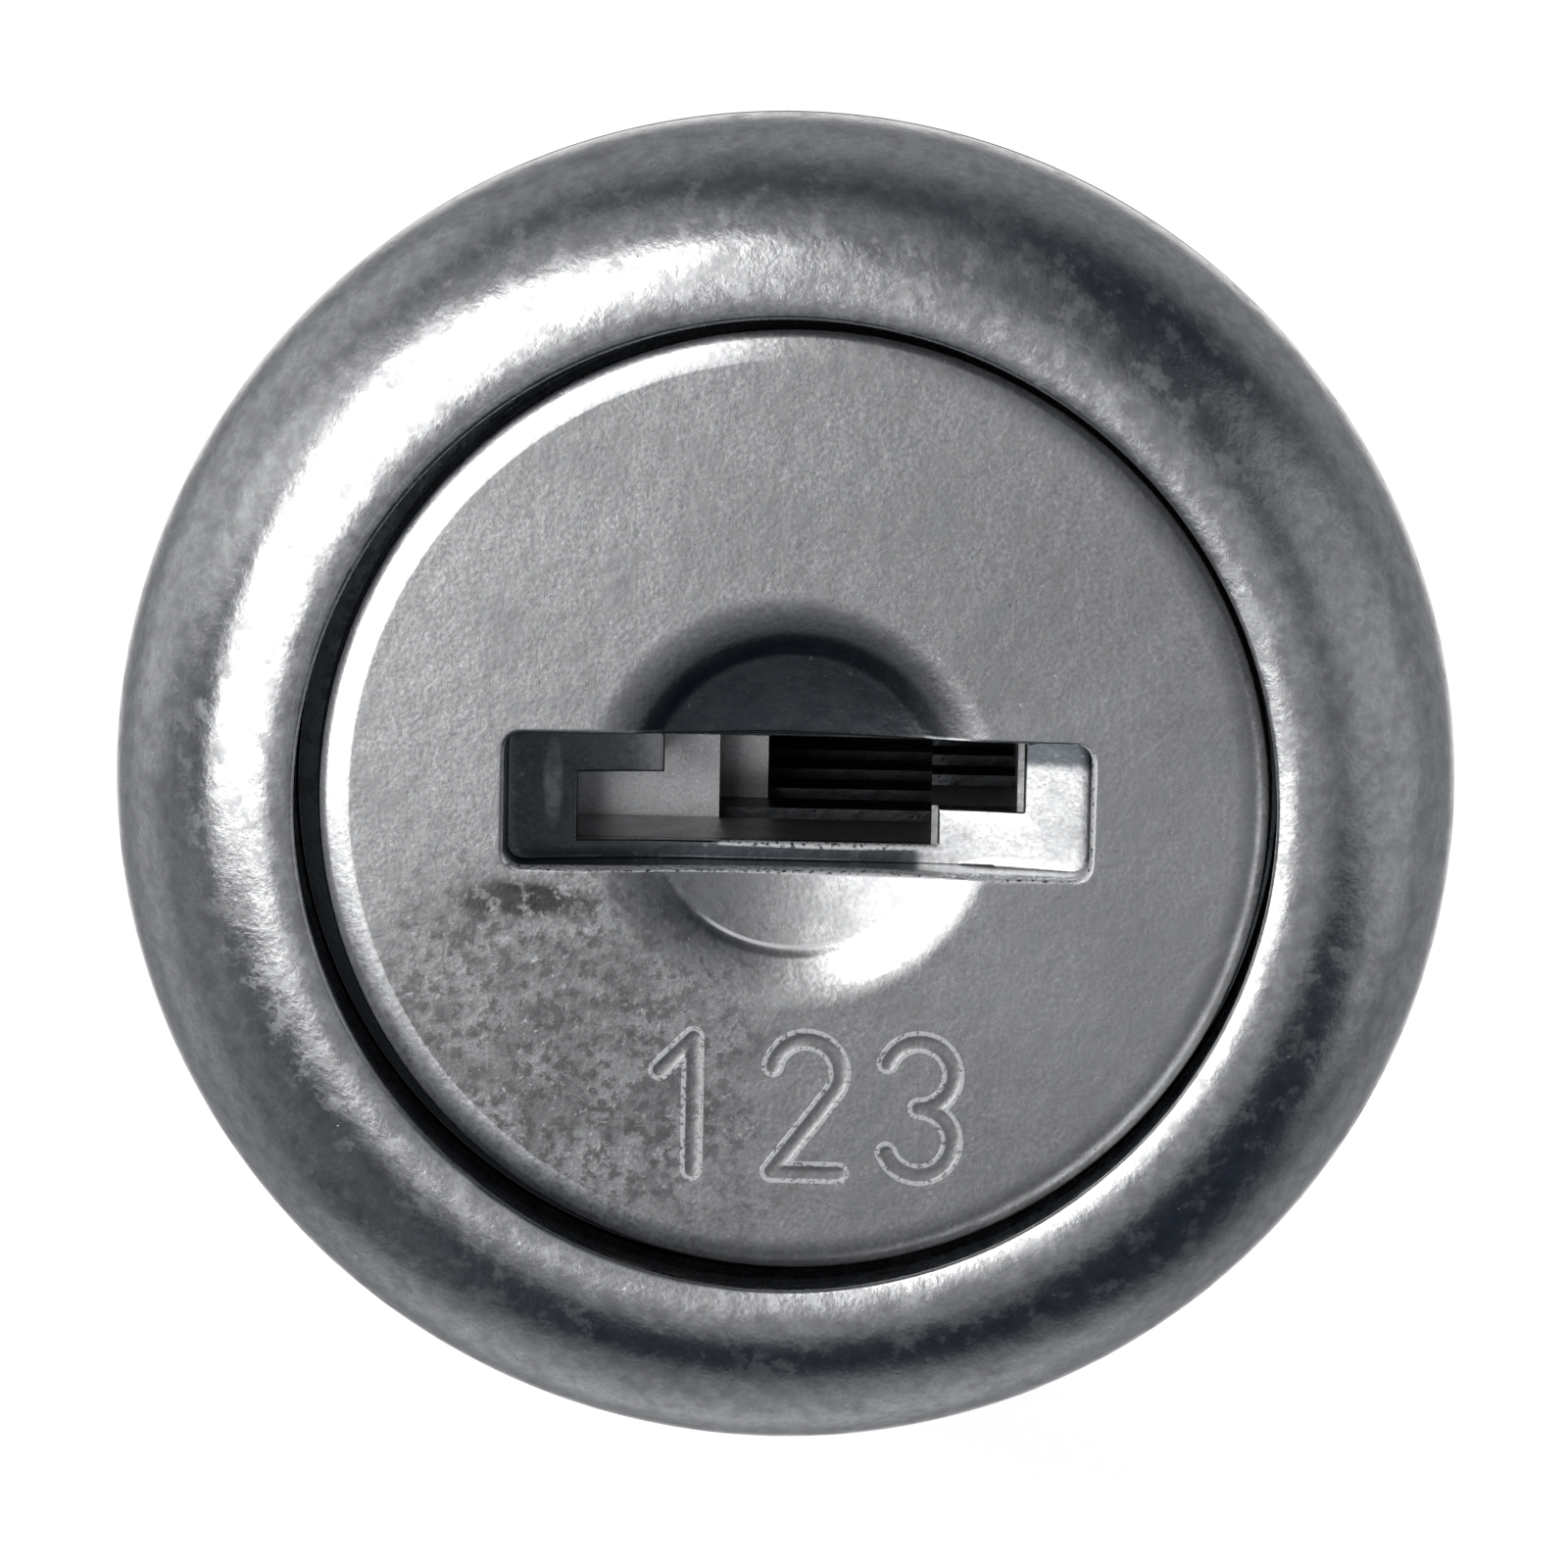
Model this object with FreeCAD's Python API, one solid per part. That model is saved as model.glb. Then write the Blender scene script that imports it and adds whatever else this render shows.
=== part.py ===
# Wafer tumbler cam lock for a tool chest drawer or lid.
# Millimetres, +Z up. The lock's axis is Y and its face looks towards -Y.
# The origin is on the axis, in the plane of the bezel's flat back, which rests on the panel.
# A depth is a place along Y: negative in front of the panel, positive behind it.
# The plug is shown at its locked stop, with the wafers drawn in flush as a key holds them.
import FreeCAD
import Part
import math
import os

V = FreeCAD.Vector
AXIS = V(0, 1, 0)
CENTRE = V(0, 0, 0)

# Keyway, a Z-shaped slot with one ward at each end
keyway_width = 7.3
keyway_height = 1.76
ward_width = 1.4
ward_height = 0.63

# Mouth and dish that lead the key in
mouth_margin_x = 1.05
mouth_margin_z = 0.28
mouth_depth = 1.4
mouth_corner = 0.3
dish_radius = 3.3
dish_step_width = 0.85
dish_step_depth = 0.4
dish_depth = 0.75

# Wafers, which slide along X in the plug
wafer_count = 6
wafer_thickness = 1.0
wafer_pitch = 2.1
wafer_height = 5.0
wafer_bridge = 0.78
window_height = 2.3
push_in = 1.05
spring_out = 0.65
shallowest_cut = 1.58
cut_step = 0.385
bitting = (2, 4, 1, 3, 2, 3)
slot_gap = 0.05
front_web = 2.0

# Ear on each wafer, and the coil spring that pushes it
ear_width = 0.8
ear_place = 0.35
coil_diameter = 1.3
coil_wire = 0.22
coil_turns = 4
coil_length = 3.2
coil_gap = 0.1
coil_end_gap = 0.03
runs_per_turn = 8
wire_sides = 5

# Figures stamped into the plug's face, and the place of the middle one's foot
figures = "123"
figure_height = 2.5
figure_pitch = 1.85
figure_stroke = 0.38
figure_depth = 0.12
figure_middle = 0.3
figure_foot = -6.25
two_neck_angle = 35.0
two_sweep = 205.0
three_sweep = 250.0

# Plug
plug_clearance = 0.05
wafer_flush = 0.07
face_diameter = 15.6
face_edge = 0.4
head_thickness = 1.7
head_gap = 0.05
face_recess = 0.25
web_behind_keyway = 0.7

# Retainer plate, which holds the plug in the housing
retainer_thickness = 1.0
retainer_width = 4.8
retainer_grip = 0.5
retainer_inner = 0.9
retainer_spring_length = 2.6
retainer_turns = 3
groove_side_gap = 0.2
groove_floor_gap = 0.08
rear_land = 3.9

# Housing
face_gap = 0.27
rim_width = 2.93
rim_edge = 0.6
crest_inset = 2.5
crest_turn = 80.0
bezel_height = 3.2
lip_drop = 0.4
seat_chamfer = 0.15
groove_clearance = 0.17
barrel_wall = 1.25
flat_depth = 0.7
barrel_chamfer = 0.5
release_hole_diameter = 1.6

# Stop between the housing's lug and the stop washer
turn_angle = 90.0
lug_angle = 60.0
lug_height = 1.3
lug_width = 1.1
stop_play = 0.5
stop_washer_thickness = 1.4
stop_side_gap = 0.1
rear_gap = 0.1

# Square tail, cam and the screw that holds it
tail_square = 6.4
tail_corner = 0.5
square_gap = 0.05
stack_gap = 0.02
cam_thickness = 2.0
cam_head_diameter = 14.4
cam_reach = 15.5
cam_tip_width = 10.0
cam_tip_corner = 2.5
tail_short_of_cam = 0.2
screw_diameter = 4.0
screw_head_diameter = 8.0
screw_head_height = 2.4
screw_length = 7.4
screw_gap = 0.05
screw_hole_spare = 0.4
split_washer_width = 1.6
split_washer_thickness = 1.0
split_width = 0.6
split_slant = 25.0

# Nut and toothed washer that clamp the panel
panel_space = 2.2
nut_wall = 1.0
nut_thickness = 3.0
nut_chamfer_angle = 30.0
thread_gap = 0.06
tooth_washer_thickness = 0.6
tooth_washer_rim = 0.9
tooth_count = 10
tooth_length = 1.1
tooth_width = 1.5
tooth_twist = 12.0

# Radii that follow from the keyway outwards
window_right = keyway_width / 2 + push_in + slot_gap
wafer_end = window_right + wafer_bridge
plug_radius = wafer_end + wafer_flush
bore_radius = plug_radius + plug_clearance
groove_radius = wafer_end + push_in + groove_clearance
barrel_radius = groove_radius + barrel_wall
flat_height = barrel_radius - flat_depth
face_radius = face_diameter / 2
face_bore_radius = face_radius + face_gap
bezel_radius = face_bore_radius + rim_width
crest_radius = bezel_radius - crest_inset
retainer_groove_radius = bore_radius + retainer_grip + groove_floor_gap
coil_radius = (coil_diameter - coil_wire) / 2

# Depths that follow from the bezel backwards
lip_depth = lip_drop - bezel_height
face_depth = lip_depth + face_recess
head_back = face_depth + head_thickness
counterbore_floor = head_back + head_gap
mouth_floor = face_depth + mouth_depth
slot_thickness = wafer_thickness + 2 * slot_gap
slot_fronts = [counterbore_floor + front_web + n * wafer_pitch for n in range(wafer_count)]
keyway_end = slot_fronts[-1] + slot_thickness + 4 * slot_gap
retainer_front = keyway_end + web_behind_keyway
retainer_back = retainer_front + retainer_thickness + 2 * slot_gap
barrel_end = retainer_back + rear_land
stop_front = barrel_end + rear_gap
stop_back = stop_front + stop_washer_thickness
cam_front = stop_back + stack_gap
cam_back = cam_front + cam_thickness
tail_end = cam_back - tail_short_of_cam
split_front = cam_back + stack_gap
split_back = split_front + split_washer_thickness
screw_seat = split_back + stack_gap
screw_tip = screw_seat - screw_length

# Heights of what sits beside the keyway
slot_half_height = wafer_height / 2 + slot_gap
coil_height = slot_half_height + coil_gap + coil_diameter / 2
ear_top = coil_height + coil_diameter / 2 - coil_gap
pocket_width = coil_diameter + 2 * coil_gap
pocket_left = ear_place - coil_length
pocket_right = ear_place + ear_width + spring_out + slot_gap

# How far a cutter runs past what it cuts, and a length that runs through the whole lock
overrun = 1.0
through = 4 * (bezel_radius + barrel_end)


def rod(radius, front, back):
    """Round bar on the lock's axis between two depths."""
    return Part.makeCylinder(radius, back - front, V(0, front, 0), AXIS)


def ring(outer, inner, front, back):
    """Flat ring on the lock's axis."""
    return rod(outer, front, back).cut(rod(inner, front, back))


def block(low, high):
    """Box between two corners."""
    size = high - low
    return Part.makeBox(size.x, size.y, size.z, low)


def slab(half_width, half_height, front, back):
    """Box centred on the lock's axis."""
    return block(V(-half_width, front, -half_height), V(half_width, back, half_height))


def outline(corners, front, back):
    """Plate with straight sides through (x, z) corners, between two depths."""
    points = [V(x, front, z) for x, z in corners]
    face = Part.Face(Part.makePolygon(points + points[:1]))
    return face.extrude(V(0, back - front, 0))


def along_axis(edge):
    """True for a straight edge that runs parallel to the lock's axis."""
    ends = [vertex.Point for vertex in edge.Vertexes]
    if len(ends) != 2 or not isinstance(edge.Curve, Part.Line):
        return False
    run = ends[1] - ends[0]
    return abs(run.y) > 0.99 * run.Length


def round_corners(shape, radius):
    """Round every corner of a plate that is seen square on."""
    return shape.makeFillet(radius, [edge for edge in shape.Edges if along_axis(edge)])


def turned(edges):
    """Solid of revolution about the lock's axis from the edges of half a section."""
    face = Part.Face(Part.Wire(Part.__sortEdges__(edges)))
    return face.revolve(CENTRE, AXIS, 360)


def line(start, end):
    """Straight edge between two (radius, depth) points."""
    return Part.LineSegment(V(start[0], start[1], 0), V(end[0], end[1], 0)).toShape()


def lines(points):
    """Straight edges through (radius, depth) points."""
    return [line(a, b) for a, b in zip(points, points[1:])]


def arc(start, middle, end):
    """Arc in a section through three (radius, depth) points."""
    return Part.Arc(*[V(radius, depth, 0) for radius, depth in (start, middle, end)]).toShape()


def dome_side(crest, rim):
    """Outside of the dome in a section: an arc from the level crest, then a straight taper to the rim.

    The arc turns through crest_turn. Its radius follows from how far out and how far back the rim lies.
    """
    out = rim[0] - crest[0]
    back = rim[1] - crest[1]
    turn = math.radians(crest_turn)
    sine = math.sin(turn)
    cosine = math.cos(turn)
    radius = (out * sine - back * cosine) / (1 - cosine)

    def on_arc(angle):
        return crest[0] + radius * math.sin(angle), crest[1] + radius * (1 - math.cos(angle))

    return [arc(crest, on_arc(turn / 2), on_arc(turn)), line(on_arc(turn), rim)]


def level_arc(level, end):
    """Arc in a section that is level at its first end and bends away to its other end."""
    across = end[0] - level[0]
    drop = end[1] - level[1]
    radius = (across ** 2 + drop ** 2) / (2 * drop)
    half = math.asin(across / radius) / 2
    middle = (level[0] + radius * math.sin(half), level[1] + radius * (1 - math.cos(half)))
    return arc(level, middle, end)


def sector(outer, inner, first_angle, sweep, front, back):
    """Part of a ring. Angles run from +X towards +Z."""
    solid = Part.makeCylinder(outer, back - front, V(0, front, 0), AXIS, sweep)
    solid = solid.cut(rod(inner, front, back))
    solid.rotate(CENTRE, AXIS, -first_angle - sweep + 90)
    return solid


def bezel():
    """Domed rim with a bevelled lip inside and a flat back, still without its bore."""
    crest = (crest_radius, -bezel_height)
    lip = (face_bore_radius, lip_depth)
    rim = (bezel_radius, -rim_edge)
    section = dome_side(crest, rim)
    section += lines([rim, (bezel_radius, -seat_chamfer), (bezel_radius - seat_chamfer, 0), (0, 0), (0, lip[1])])
    section += lines([(0, lip[1]), lip, crest])
    return turned(section)


def double_d(front, back):
    """Barrel blank with a flat above and a flat below."""
    blank = rod(barrel_radius, front, back)
    return blank.common(slab(through, flat_height, front, back))


def tumbler_grooves():
    """Four grooves that the wafers reach into: at both sides, and above and below for the turned plug."""
    across = slab(groove_radius, slot_half_height + slot_gap, counterbore_floor - head_gap, keyway_end)
    across = across.common(rod(groove_radius, counterbore_floor - head_gap, keyway_end))
    upright = across.copy()
    upright.rotate(CENTRE, AXIS, 90)
    return across.fuse(upright)


def stop_lug():
    """Raised sector on the barrel's rear end that the stop washer turns against."""
    inner = barrel_radius - flat_depth - lug_width
    blank = double_d(barrel_end - rear_gap, barrel_end + lug_height)
    first = 90 - lug_angle / 2
    return blank.common(sector(through, inner, first, lug_angle, barrel_end - rear_gap, barrel_end + lug_height))


def housing():
    """Die-cast housing: bezel, threaded barrel with two flats, stepped bore, grooves and stop lug."""
    body = bezel().fuse(double_d(0, barrel_end))
    rear_edge = Part.makeCone(
        barrel_radius + barrel_chamfer, barrel_radius - barrel_chamfer, 2 * barrel_chamfer,
        V(0, barrel_end - 2 * barrel_chamfer, 0), AXIS,
    )
    keep = rod(bezel_radius + overrun, -bezel_height - overrun, barrel_end - 2 * barrel_chamfer).fuse(rear_edge)
    body = body.common(keep)
    body = body.fuse(stop_lug())
    body = body.cut(rod(face_bore_radius, -bezel_height - overrun, counterbore_floor))
    body = body.cut(rod(bore_radius, counterbore_floor - overrun, barrel_end + lug_height + overrun))
    body = body.cut(tumbler_grooves())
    body = body.cut(rod(retainer_groove_radius, retainer_front - groove_side_gap, retainer_back + groove_side_gap))
    release = Part.makeCylinder(
        release_hole_diameter / 2, through,
        V(0, (retainer_front + retainer_back) / 2, 0), V(1, 0, 0),
    )
    return body.cut(release).removeSplitter()


def keyway():
    """Z-shaped slot that takes the key, from the mouth to behind the last wafer."""
    side = keyway_width / 2
    top = keyway_height / 2
    step = side - ward_width
    ward = top - ward_height
    corners = [
        (-side, -top), (step, -top), (step, -ward), (side, -ward),
        (side, top), (-step, top), (-step, ward), (-side, ward),
    ]
    return outline(corners, face_depth - overrun, keyway_end)


def key_mouth():
    """Rounded oblong recess in front of the keyway."""
    half_width = keyway_width / 2 + mouth_margin_x
    half_height = keyway_height / 2 + mouth_margin_z
    return round_corners(slab(half_width, half_height, face_depth - overrun, mouth_floor), mouth_corner)


def dish():
    """Round dish in the plug's face: a sloping wall, then a shallow bowl."""
    step = (dish_radius - dish_step_width, face_depth + dish_step_depth)
    bottom = (0, face_depth + dish_depth)
    out = (dish_radius + dish_step_width, face_depth - dish_step_depth)
    return turned([line(out, step), level_arc(bottom, step)] + lines([bottom, (0, out[1]), out]))


def bar(start, end):
    """Straight stroke of a stamped figure between two (x, z) points."""
    run = V(end[0] - start[0], 0, end[1] - start[1])
    half = figure_stroke / 2
    stroke = block(V(0, face_depth - overrun, -half), V(run.Length, face_depth + figure_depth, half))
    stroke.rotate(CENTRE, AXIS, -math.degrees(math.atan2(run.z, run.x)))
    stroke.translate(V(start[0], 0, start[1]))
    return stroke


def bow(radius, height, first_angle, sweep):
    """Round stroke of a stamped figure about a point at a height. Angles run from +X towards +Z."""
    half = figure_stroke / 2
    stroke = sector(
        radius + half, radius - half, first_angle, sweep,
        face_depth - overrun, face_depth + figure_depth,
    )
    stroke.translate(V(0, 0, height))
    return stroke


def figure(digit):
    """Strokes of one figure, standing on z = 0 and centred on x = 0."""
    half = figure_stroke / 2
    radius = (figure_height - figure_stroke) / 4
    upper = figure_height - half - radius
    lower = half + radius
    if digit == "1":
        return [
            bar((0, 0), (0, figure_height)),
            bar((-radius, upper), (0, figure_height - half)),
        ]
    if digit == "2":
        turn = math.radians(two_neck_angle)
        neck = (radius * math.cos(turn), upper - radius * math.sin(turn))
        return [
            bow(radius, upper, -two_neck_angle, two_sweep),
            bar(neck, (-radius, half)),
            bar((-radius - half, half), (radius + half, half)),
        ]
    return [bow(radius, upper, -90, three_sweep), bow(radius, lower, 90 - three_sweep, three_sweep)]


def stamped_figures():
    """All the strokes of the figures, in their places in the face."""
    strokes = []
    for number, digit in enumerate(figures):
        middle = figure_middle + (number - (len(figures) - 1) / 2) * figure_pitch
        for stroke in figure(digit):
            stroke.translate(V(middle, 0, figure_foot))
            strokes.append(stroke)
    return strokes


def spring_pocket(front, side):
    """Open pocket above or below a wafer slot, where its spring lies. Side is 1 above and -1 below."""
    middle = front + slot_thickness / 2
    low = V(pocket_left, middle - pocket_width / 2, slot_half_height - coil_gap)
    high = V(pocket_right, middle + pocket_width / 2, plug_radius + overrun)
    pocket = block(low, high)
    if side < 0:
        pocket.rotate(V(0, middle, 0), V(1, 0, 0), 180)
    return pocket


def wafer_side(number):
    """Springs alternate: above for the first wafer, below for the next, and so on."""
    return 1 if number % 2 == 0 else -1


def retainer_pocket():
    """Slot for the retainer plate, open at one side, with a round pocket for its spring."""
    middle = (retainer_front + retainer_back) / 2
    half = retainer_width / 2 + slot_gap
    inner = retainer_inner - retainer_grip - 2 * slot_gap
    slot = block(V(inner, retainer_front, -half), V(plug_radius + overrun, retainer_back, half))
    hole = Part.makeCylinder(
        pocket_width / 2, retainer_spring_length + slot_gap,
        V(retainer_inner - retainer_spring_length, middle, 0), V(1, 0, 0),
    )
    return slot.fuse(hole)


def tail_shape(grow, front, back):
    """Square with rounded corners that the stop washer and the cam sit on."""
    half = tail_square / 2 + grow
    return round_corners(slab(half, half, front, back), tail_corner)


def plug():
    """Turning core: round face, shank with the wafer slots, and square tail."""
    body = turned(lines([
        (0, face_depth), (face_radius - face_edge, face_depth), (face_radius, face_depth + face_edge),
        (face_radius, head_back), (0, head_back), (0, face_depth),
    ]))
    body = body.fuse(rod(plug_radius, head_back - head_gap, stop_front - stack_gap))
    body = body.fuse(tail_shape(0, stop_front - rear_gap, tail_end))
    body = body.cut(dish())
    body = body.cut(key_mouth())
    body = body.cut(keyway())
    body = body.cut(stamped_figures())
    for number, front in enumerate(slot_fronts):
        body = body.cut(slab(plug_radius + overrun, slot_half_height, front, front + slot_thickness))
        body = body.cut(spring_pocket(front, wafer_side(number)))
    body = body.cut(retainer_pocket())
    body = body.cut(rod(screw_diameter / 2 + screw_gap, screw_tip - screw_hole_spare, tail_end + overrun))
    return body.removeSplitter()


def wafer(number):
    """Wafer: plate with rounded ends, a window for the key and an ear for its spring."""
    front = slot_fronts[number] + slot_gap
    back = front + wafer_thickness
    plate = rod(wafer_end, front, back).common(slab(through, wafer_height / 2, front, back))
    left = shallowest_cut + bitting[number % len(bitting)] * cut_step - keyway_width / 2
    half = window_height / 2
    window = block(V(left, front - overrun, -half), V(window_right, back + overrun, half))
    ear = block(V(ear_place, front, 0), V(ear_place + ear_width, back, ear_top))
    if wafer_side(number) < 0:
        ear.rotate(V(0, (front + back) / 2, 0), V(1, 0, 0), 180)
    return plate.fuse(ear).cut(window).removeSplitter()


def coil(left, right, depth, height, turns):
    """Coil spring along X as one unbroken wire with open ends, in short straight runs.

    The wire's middle is at an angle round the spring's axis and moves along X in step with that angle.
    """
    first = left + coil_wire / 2 + coil_end_gap
    travel = right - coil_wire / 2 - coil_end_gap - first
    count = turns * runs_per_turn
    points = []
    for step in range(count + 1):
        angle = 2 * math.pi * step / runs_per_turn
        points.append(V(
            first + travel * step / count,
            depth + coil_radius * math.cos(angle),
            height + coil_radius * math.sin(angle),
        ))
    start = points[1] - points[0]
    section = wire_section(points[0], start.normalize())
    spring = Part.makePolygon(points).makePipeShell([section], True, False, 1)
    return spring, least_gap(points)


def wire_section(centre, along):
    """Outline of the wire, a polygon square to the direction that the wire runs in."""
    side = along.cross(V(1, 0, 0)).normalize()
    up = along.cross(side)
    corners = []
    for number in range(wire_sides + 1):
        angle = 2 * math.pi * number / wire_sides
        corners.append(centre + side * (coil_wire / 2 * math.cos(angle)) + up * (coil_wire / 2 * math.sin(angle)))
    return Part.makePolygon(corners)


def least_gap(points):
    """Smallest distance between the wire and itself half a turn or more further on."""
    shares = [n / 10 for n in range(10)]
    places = [a + (b - a) * share for a, b in zip(points, points[1:]) for share in shares]
    apart = 10 * runs_per_turn // 2
    distances = [
        places[a].distanceToPoint(places[b])
        for a in range(len(places)) for b in range(a + apart, len(places))
    ]
    return min(distances) - coil_wire


def wafer_spring(number):
    """Spring between the pocket's end and the wafer's ear."""
    depth = slot_fronts[number] + slot_thickness / 2
    height = wafer_side(number) * coil_height
    spring, gap = coil(pocket_left, ear_place, depth, height, coil_turns)
    print("wafer spring", number + 1, "least gap between turns", round(gap, 3), "mm")
    return spring


def retainer_plate():
    """Plate that stands out of the plug into the housing's ring groove and keeps the plug in."""
    front = retainer_front + slot_gap
    back = front + retainer_thickness
    round_end = rod(bore_radius + retainer_grip, front, back)
    return round_end.common(block(
        V(retainer_inner, front, -retainer_width / 2),
        V(through, back, retainer_width / 2),
    ))


def retainer_spring():
    """Spring that pushes the retainer plate outwards."""
    depth = (retainer_front + retainer_back) / 2
    spring, gap = coil(retainer_inner - retainer_spring_length, retainer_inner, depth, 0, retainer_turns)
    print("retainer spring least gap between turns", round(gap, 3), "mm")
    return spring


def stop_washer():
    """Disc on the plug's tail with a long notch that the housing's lug runs in."""
    disc = rod(flat_height, stop_front, stop_back)
    lug_start = 90 - lug_angle / 2
    notch = sector(
        through, flat_height - lug_width - stop_side_gap,
        lug_start - stop_play, lug_angle + turn_angle + 2 * stop_play,
        stop_front - overrun, stop_back + overrun,
    )
    return disc.cut(notch).cut(tail_shape(square_gap, stop_front - overrun, stop_back + overrun))


def cam():
    """Flat steel cam, pointing down while locked: round head, tapered arm with rounded tip."""
    head = cam_head_diameter / 2
    tip = cam_tip_width / 2
    arm = outline([(-head, 0), (-tip, -cam_reach), (tip, -cam_reach), (head, 0)], cam_front, cam_back)
    tip_edges = [e for e in arm.Edges if along_axis(e) and e.BoundBox.ZMax < -cam_reach + cam_tip_corner]
    arm = arm.makeFillet(cam_tip_corner, tip_edges)
    body = rod(head, cam_front, cam_back).fuse(arm)
    return body.cut(tail_shape(square_gap, cam_front - overrun, cam_back + overrun)).removeSplitter()


def split_washer():
    """Spring washer under the screw's head, split by a slanting cut."""
    inner = screw_diameter / 2 + 2 * screw_gap
    body = ring(inner + split_washer_width, inner, split_front, split_back)
    cut = block(
        V(-split_width / 2, split_front - split_washer_thickness, 0),
        V(split_width / 2, split_back + split_washer_thickness, through),
    )
    cut.rotate(V(0, (split_front + split_back) / 2, 0), V(0, 0, 1), split_slant)
    return body.cut(cut)


def cam_screw():
    """Pan-head screw that holds the cam on the plug's tail."""
    radius = screw_head_diameter / 2
    top = screw_seat + screw_head_height
    bevel = screw_head_height / 2
    head = turned(lines([
        (0, screw_seat), (radius, screw_seat), (radius, top - bevel),
        (radius - bevel, top), (0, top), (0, screw_seat),
    ]))
    return head.fuse(rod(screw_diameter / 2, screw_tip, screw_seat)).removeSplitter()


def toothed_washer():
    """Lock washer under the nut, with twisted teeth towards the barrel."""
    inner = barrel_radius + thread_gap + tooth_length
    front = panel_space + tooth_width * math.sin(math.radians(tooth_twist)) / 2
    back = front + tooth_washer_thickness
    body = ring(inner + tooth_washer_rim, inner, front, back)
    middle = (front + back) / 2
    for number in range(tooth_count):
        tooth = block(
            V(barrel_radius + thread_gap, front, -tooth_width / 2),
            V(inner + tooth_washer_rim / 2, back, tooth_width / 2),
        )
        tooth.rotate(V(0, middle, 0), V(1, 0, 0), tooth_twist)
        tooth.rotate(CENTRE, AXIS, 360 * number / tooth_count)
        body = body.fuse(tooth)
    return body


def mounting_nut():
    """Thin hexagon nut with chamfered corners, flats above and below."""
    front = panel_space + tooth_washer_thickness + tooth_width * math.sin(math.radians(tooth_twist)) + stack_gap
    back = front + nut_thickness
    flat = barrel_radius + nut_wall
    corner = flat / math.cos(math.radians(30))
    corners = [
        (corner * math.cos(math.radians(60 * n)), corner * math.sin(math.radians(60 * n)))
        for n in range(6)
    ]
    chamfer = (corner - flat) * math.tan(math.radians(nut_chamfer_angle))
    section = [
        (0, front), (flat, front), (corner, front + chamfer),
        (corner, back - chamfer), (flat, back), (0, back), (0, front),
    ]
    blank = outline(corners, front, back).common(turned(lines(section)))
    return blank.cut(rod(barrel_radius + thread_gap, front - overrun, back + overrun))


def export(name, shape):
    """Check one piece and write its file."""
    solids = shape.Solids
    if len(solids) != 1 or not shape.isValid():
        raise ValueError(f"{name} has {len(solids)} solids, valid {shape.isValid()}")
    solids[0].exportStep(f"parts/{name}.step")
    print(name, "volume", round(solids[0].Volume, 3), "mm3")


def main():
    os.makedirs("parts", exist_ok=True)
    export("housing", housing())
    export("mounting_nut", mounting_nut())
    export("toothed_washer", toothed_washer())
    export("plug", plug())
    for number in range(wafer_count):
        export(f"wafer_{number + 1}", wafer(number))
        export(f"wafer_spring_{number + 1}", wafer_spring(number))
    export("retainer_plate", retainer_plate())
    export("retainer_spring", retainer_spring())
    export("stop_washer", stop_washer())
    export("cam", cam())
    export("split_washer", split_washer())
    export("cam_screw", cam_screw())


main()
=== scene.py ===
# %% [markdown]
# # A wafer lock for a tool chest
# The picture shows a round cam lock nearly square on: a plated zinc bezel and, inside it, the face of a
# turning plug with a key slot. Behind the panel, out of sight, come the threaded barrel, its nut and
# toothed washer, and a cam under a screw. The frame brings all of these as solids in their real places.
# Each cell below gives one of them the finer shape or the finish of the real thing.

# %% Load the frame
import bmesh
import bpy
import math
import numpy as np
from mathutils import Matrix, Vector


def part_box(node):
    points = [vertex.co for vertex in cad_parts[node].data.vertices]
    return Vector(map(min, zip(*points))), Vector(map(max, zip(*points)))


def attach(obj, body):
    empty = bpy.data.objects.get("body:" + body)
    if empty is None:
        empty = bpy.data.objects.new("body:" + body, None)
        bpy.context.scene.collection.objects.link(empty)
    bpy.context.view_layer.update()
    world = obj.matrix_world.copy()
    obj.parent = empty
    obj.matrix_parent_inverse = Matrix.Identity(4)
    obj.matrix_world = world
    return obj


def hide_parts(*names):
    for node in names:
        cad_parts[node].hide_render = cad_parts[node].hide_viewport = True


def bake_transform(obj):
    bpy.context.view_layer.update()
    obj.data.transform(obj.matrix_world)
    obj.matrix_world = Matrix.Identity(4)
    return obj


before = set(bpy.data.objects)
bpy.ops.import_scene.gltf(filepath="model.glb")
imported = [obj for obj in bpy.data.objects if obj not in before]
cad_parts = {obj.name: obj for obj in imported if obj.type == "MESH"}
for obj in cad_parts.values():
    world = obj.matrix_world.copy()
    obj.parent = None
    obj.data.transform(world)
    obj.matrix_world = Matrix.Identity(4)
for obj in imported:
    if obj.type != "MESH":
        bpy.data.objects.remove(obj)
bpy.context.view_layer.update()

# %% [markdown]
# ## Sizes
# Lengths are easier to read in millimetres, so everything is worked out in those and turned into metres
# when a mesh is made. What the frame knows is taken from the boxes of its nodes. Only what a box can't
# tell, such as the crest of the dome or the depth of the dish, is a value of its own.

# %% Sizes from the frame, in millimetres
MM = 0.001
wafer_half_height = 2.5
wafer_inset = 0.07
running_gap = 0.05
seat_gap = 0.02
face_gap = 0.27
head_height = 1.7
rear_gap = 0.1
barrel_radius = 8.0
flat_height = 7.3


def extent(node):
    """Lowest and highest corner of a node's box, in millimetres."""
    low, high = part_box(node)
    return np.array(low) / MM, np.array(high) / MM


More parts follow.
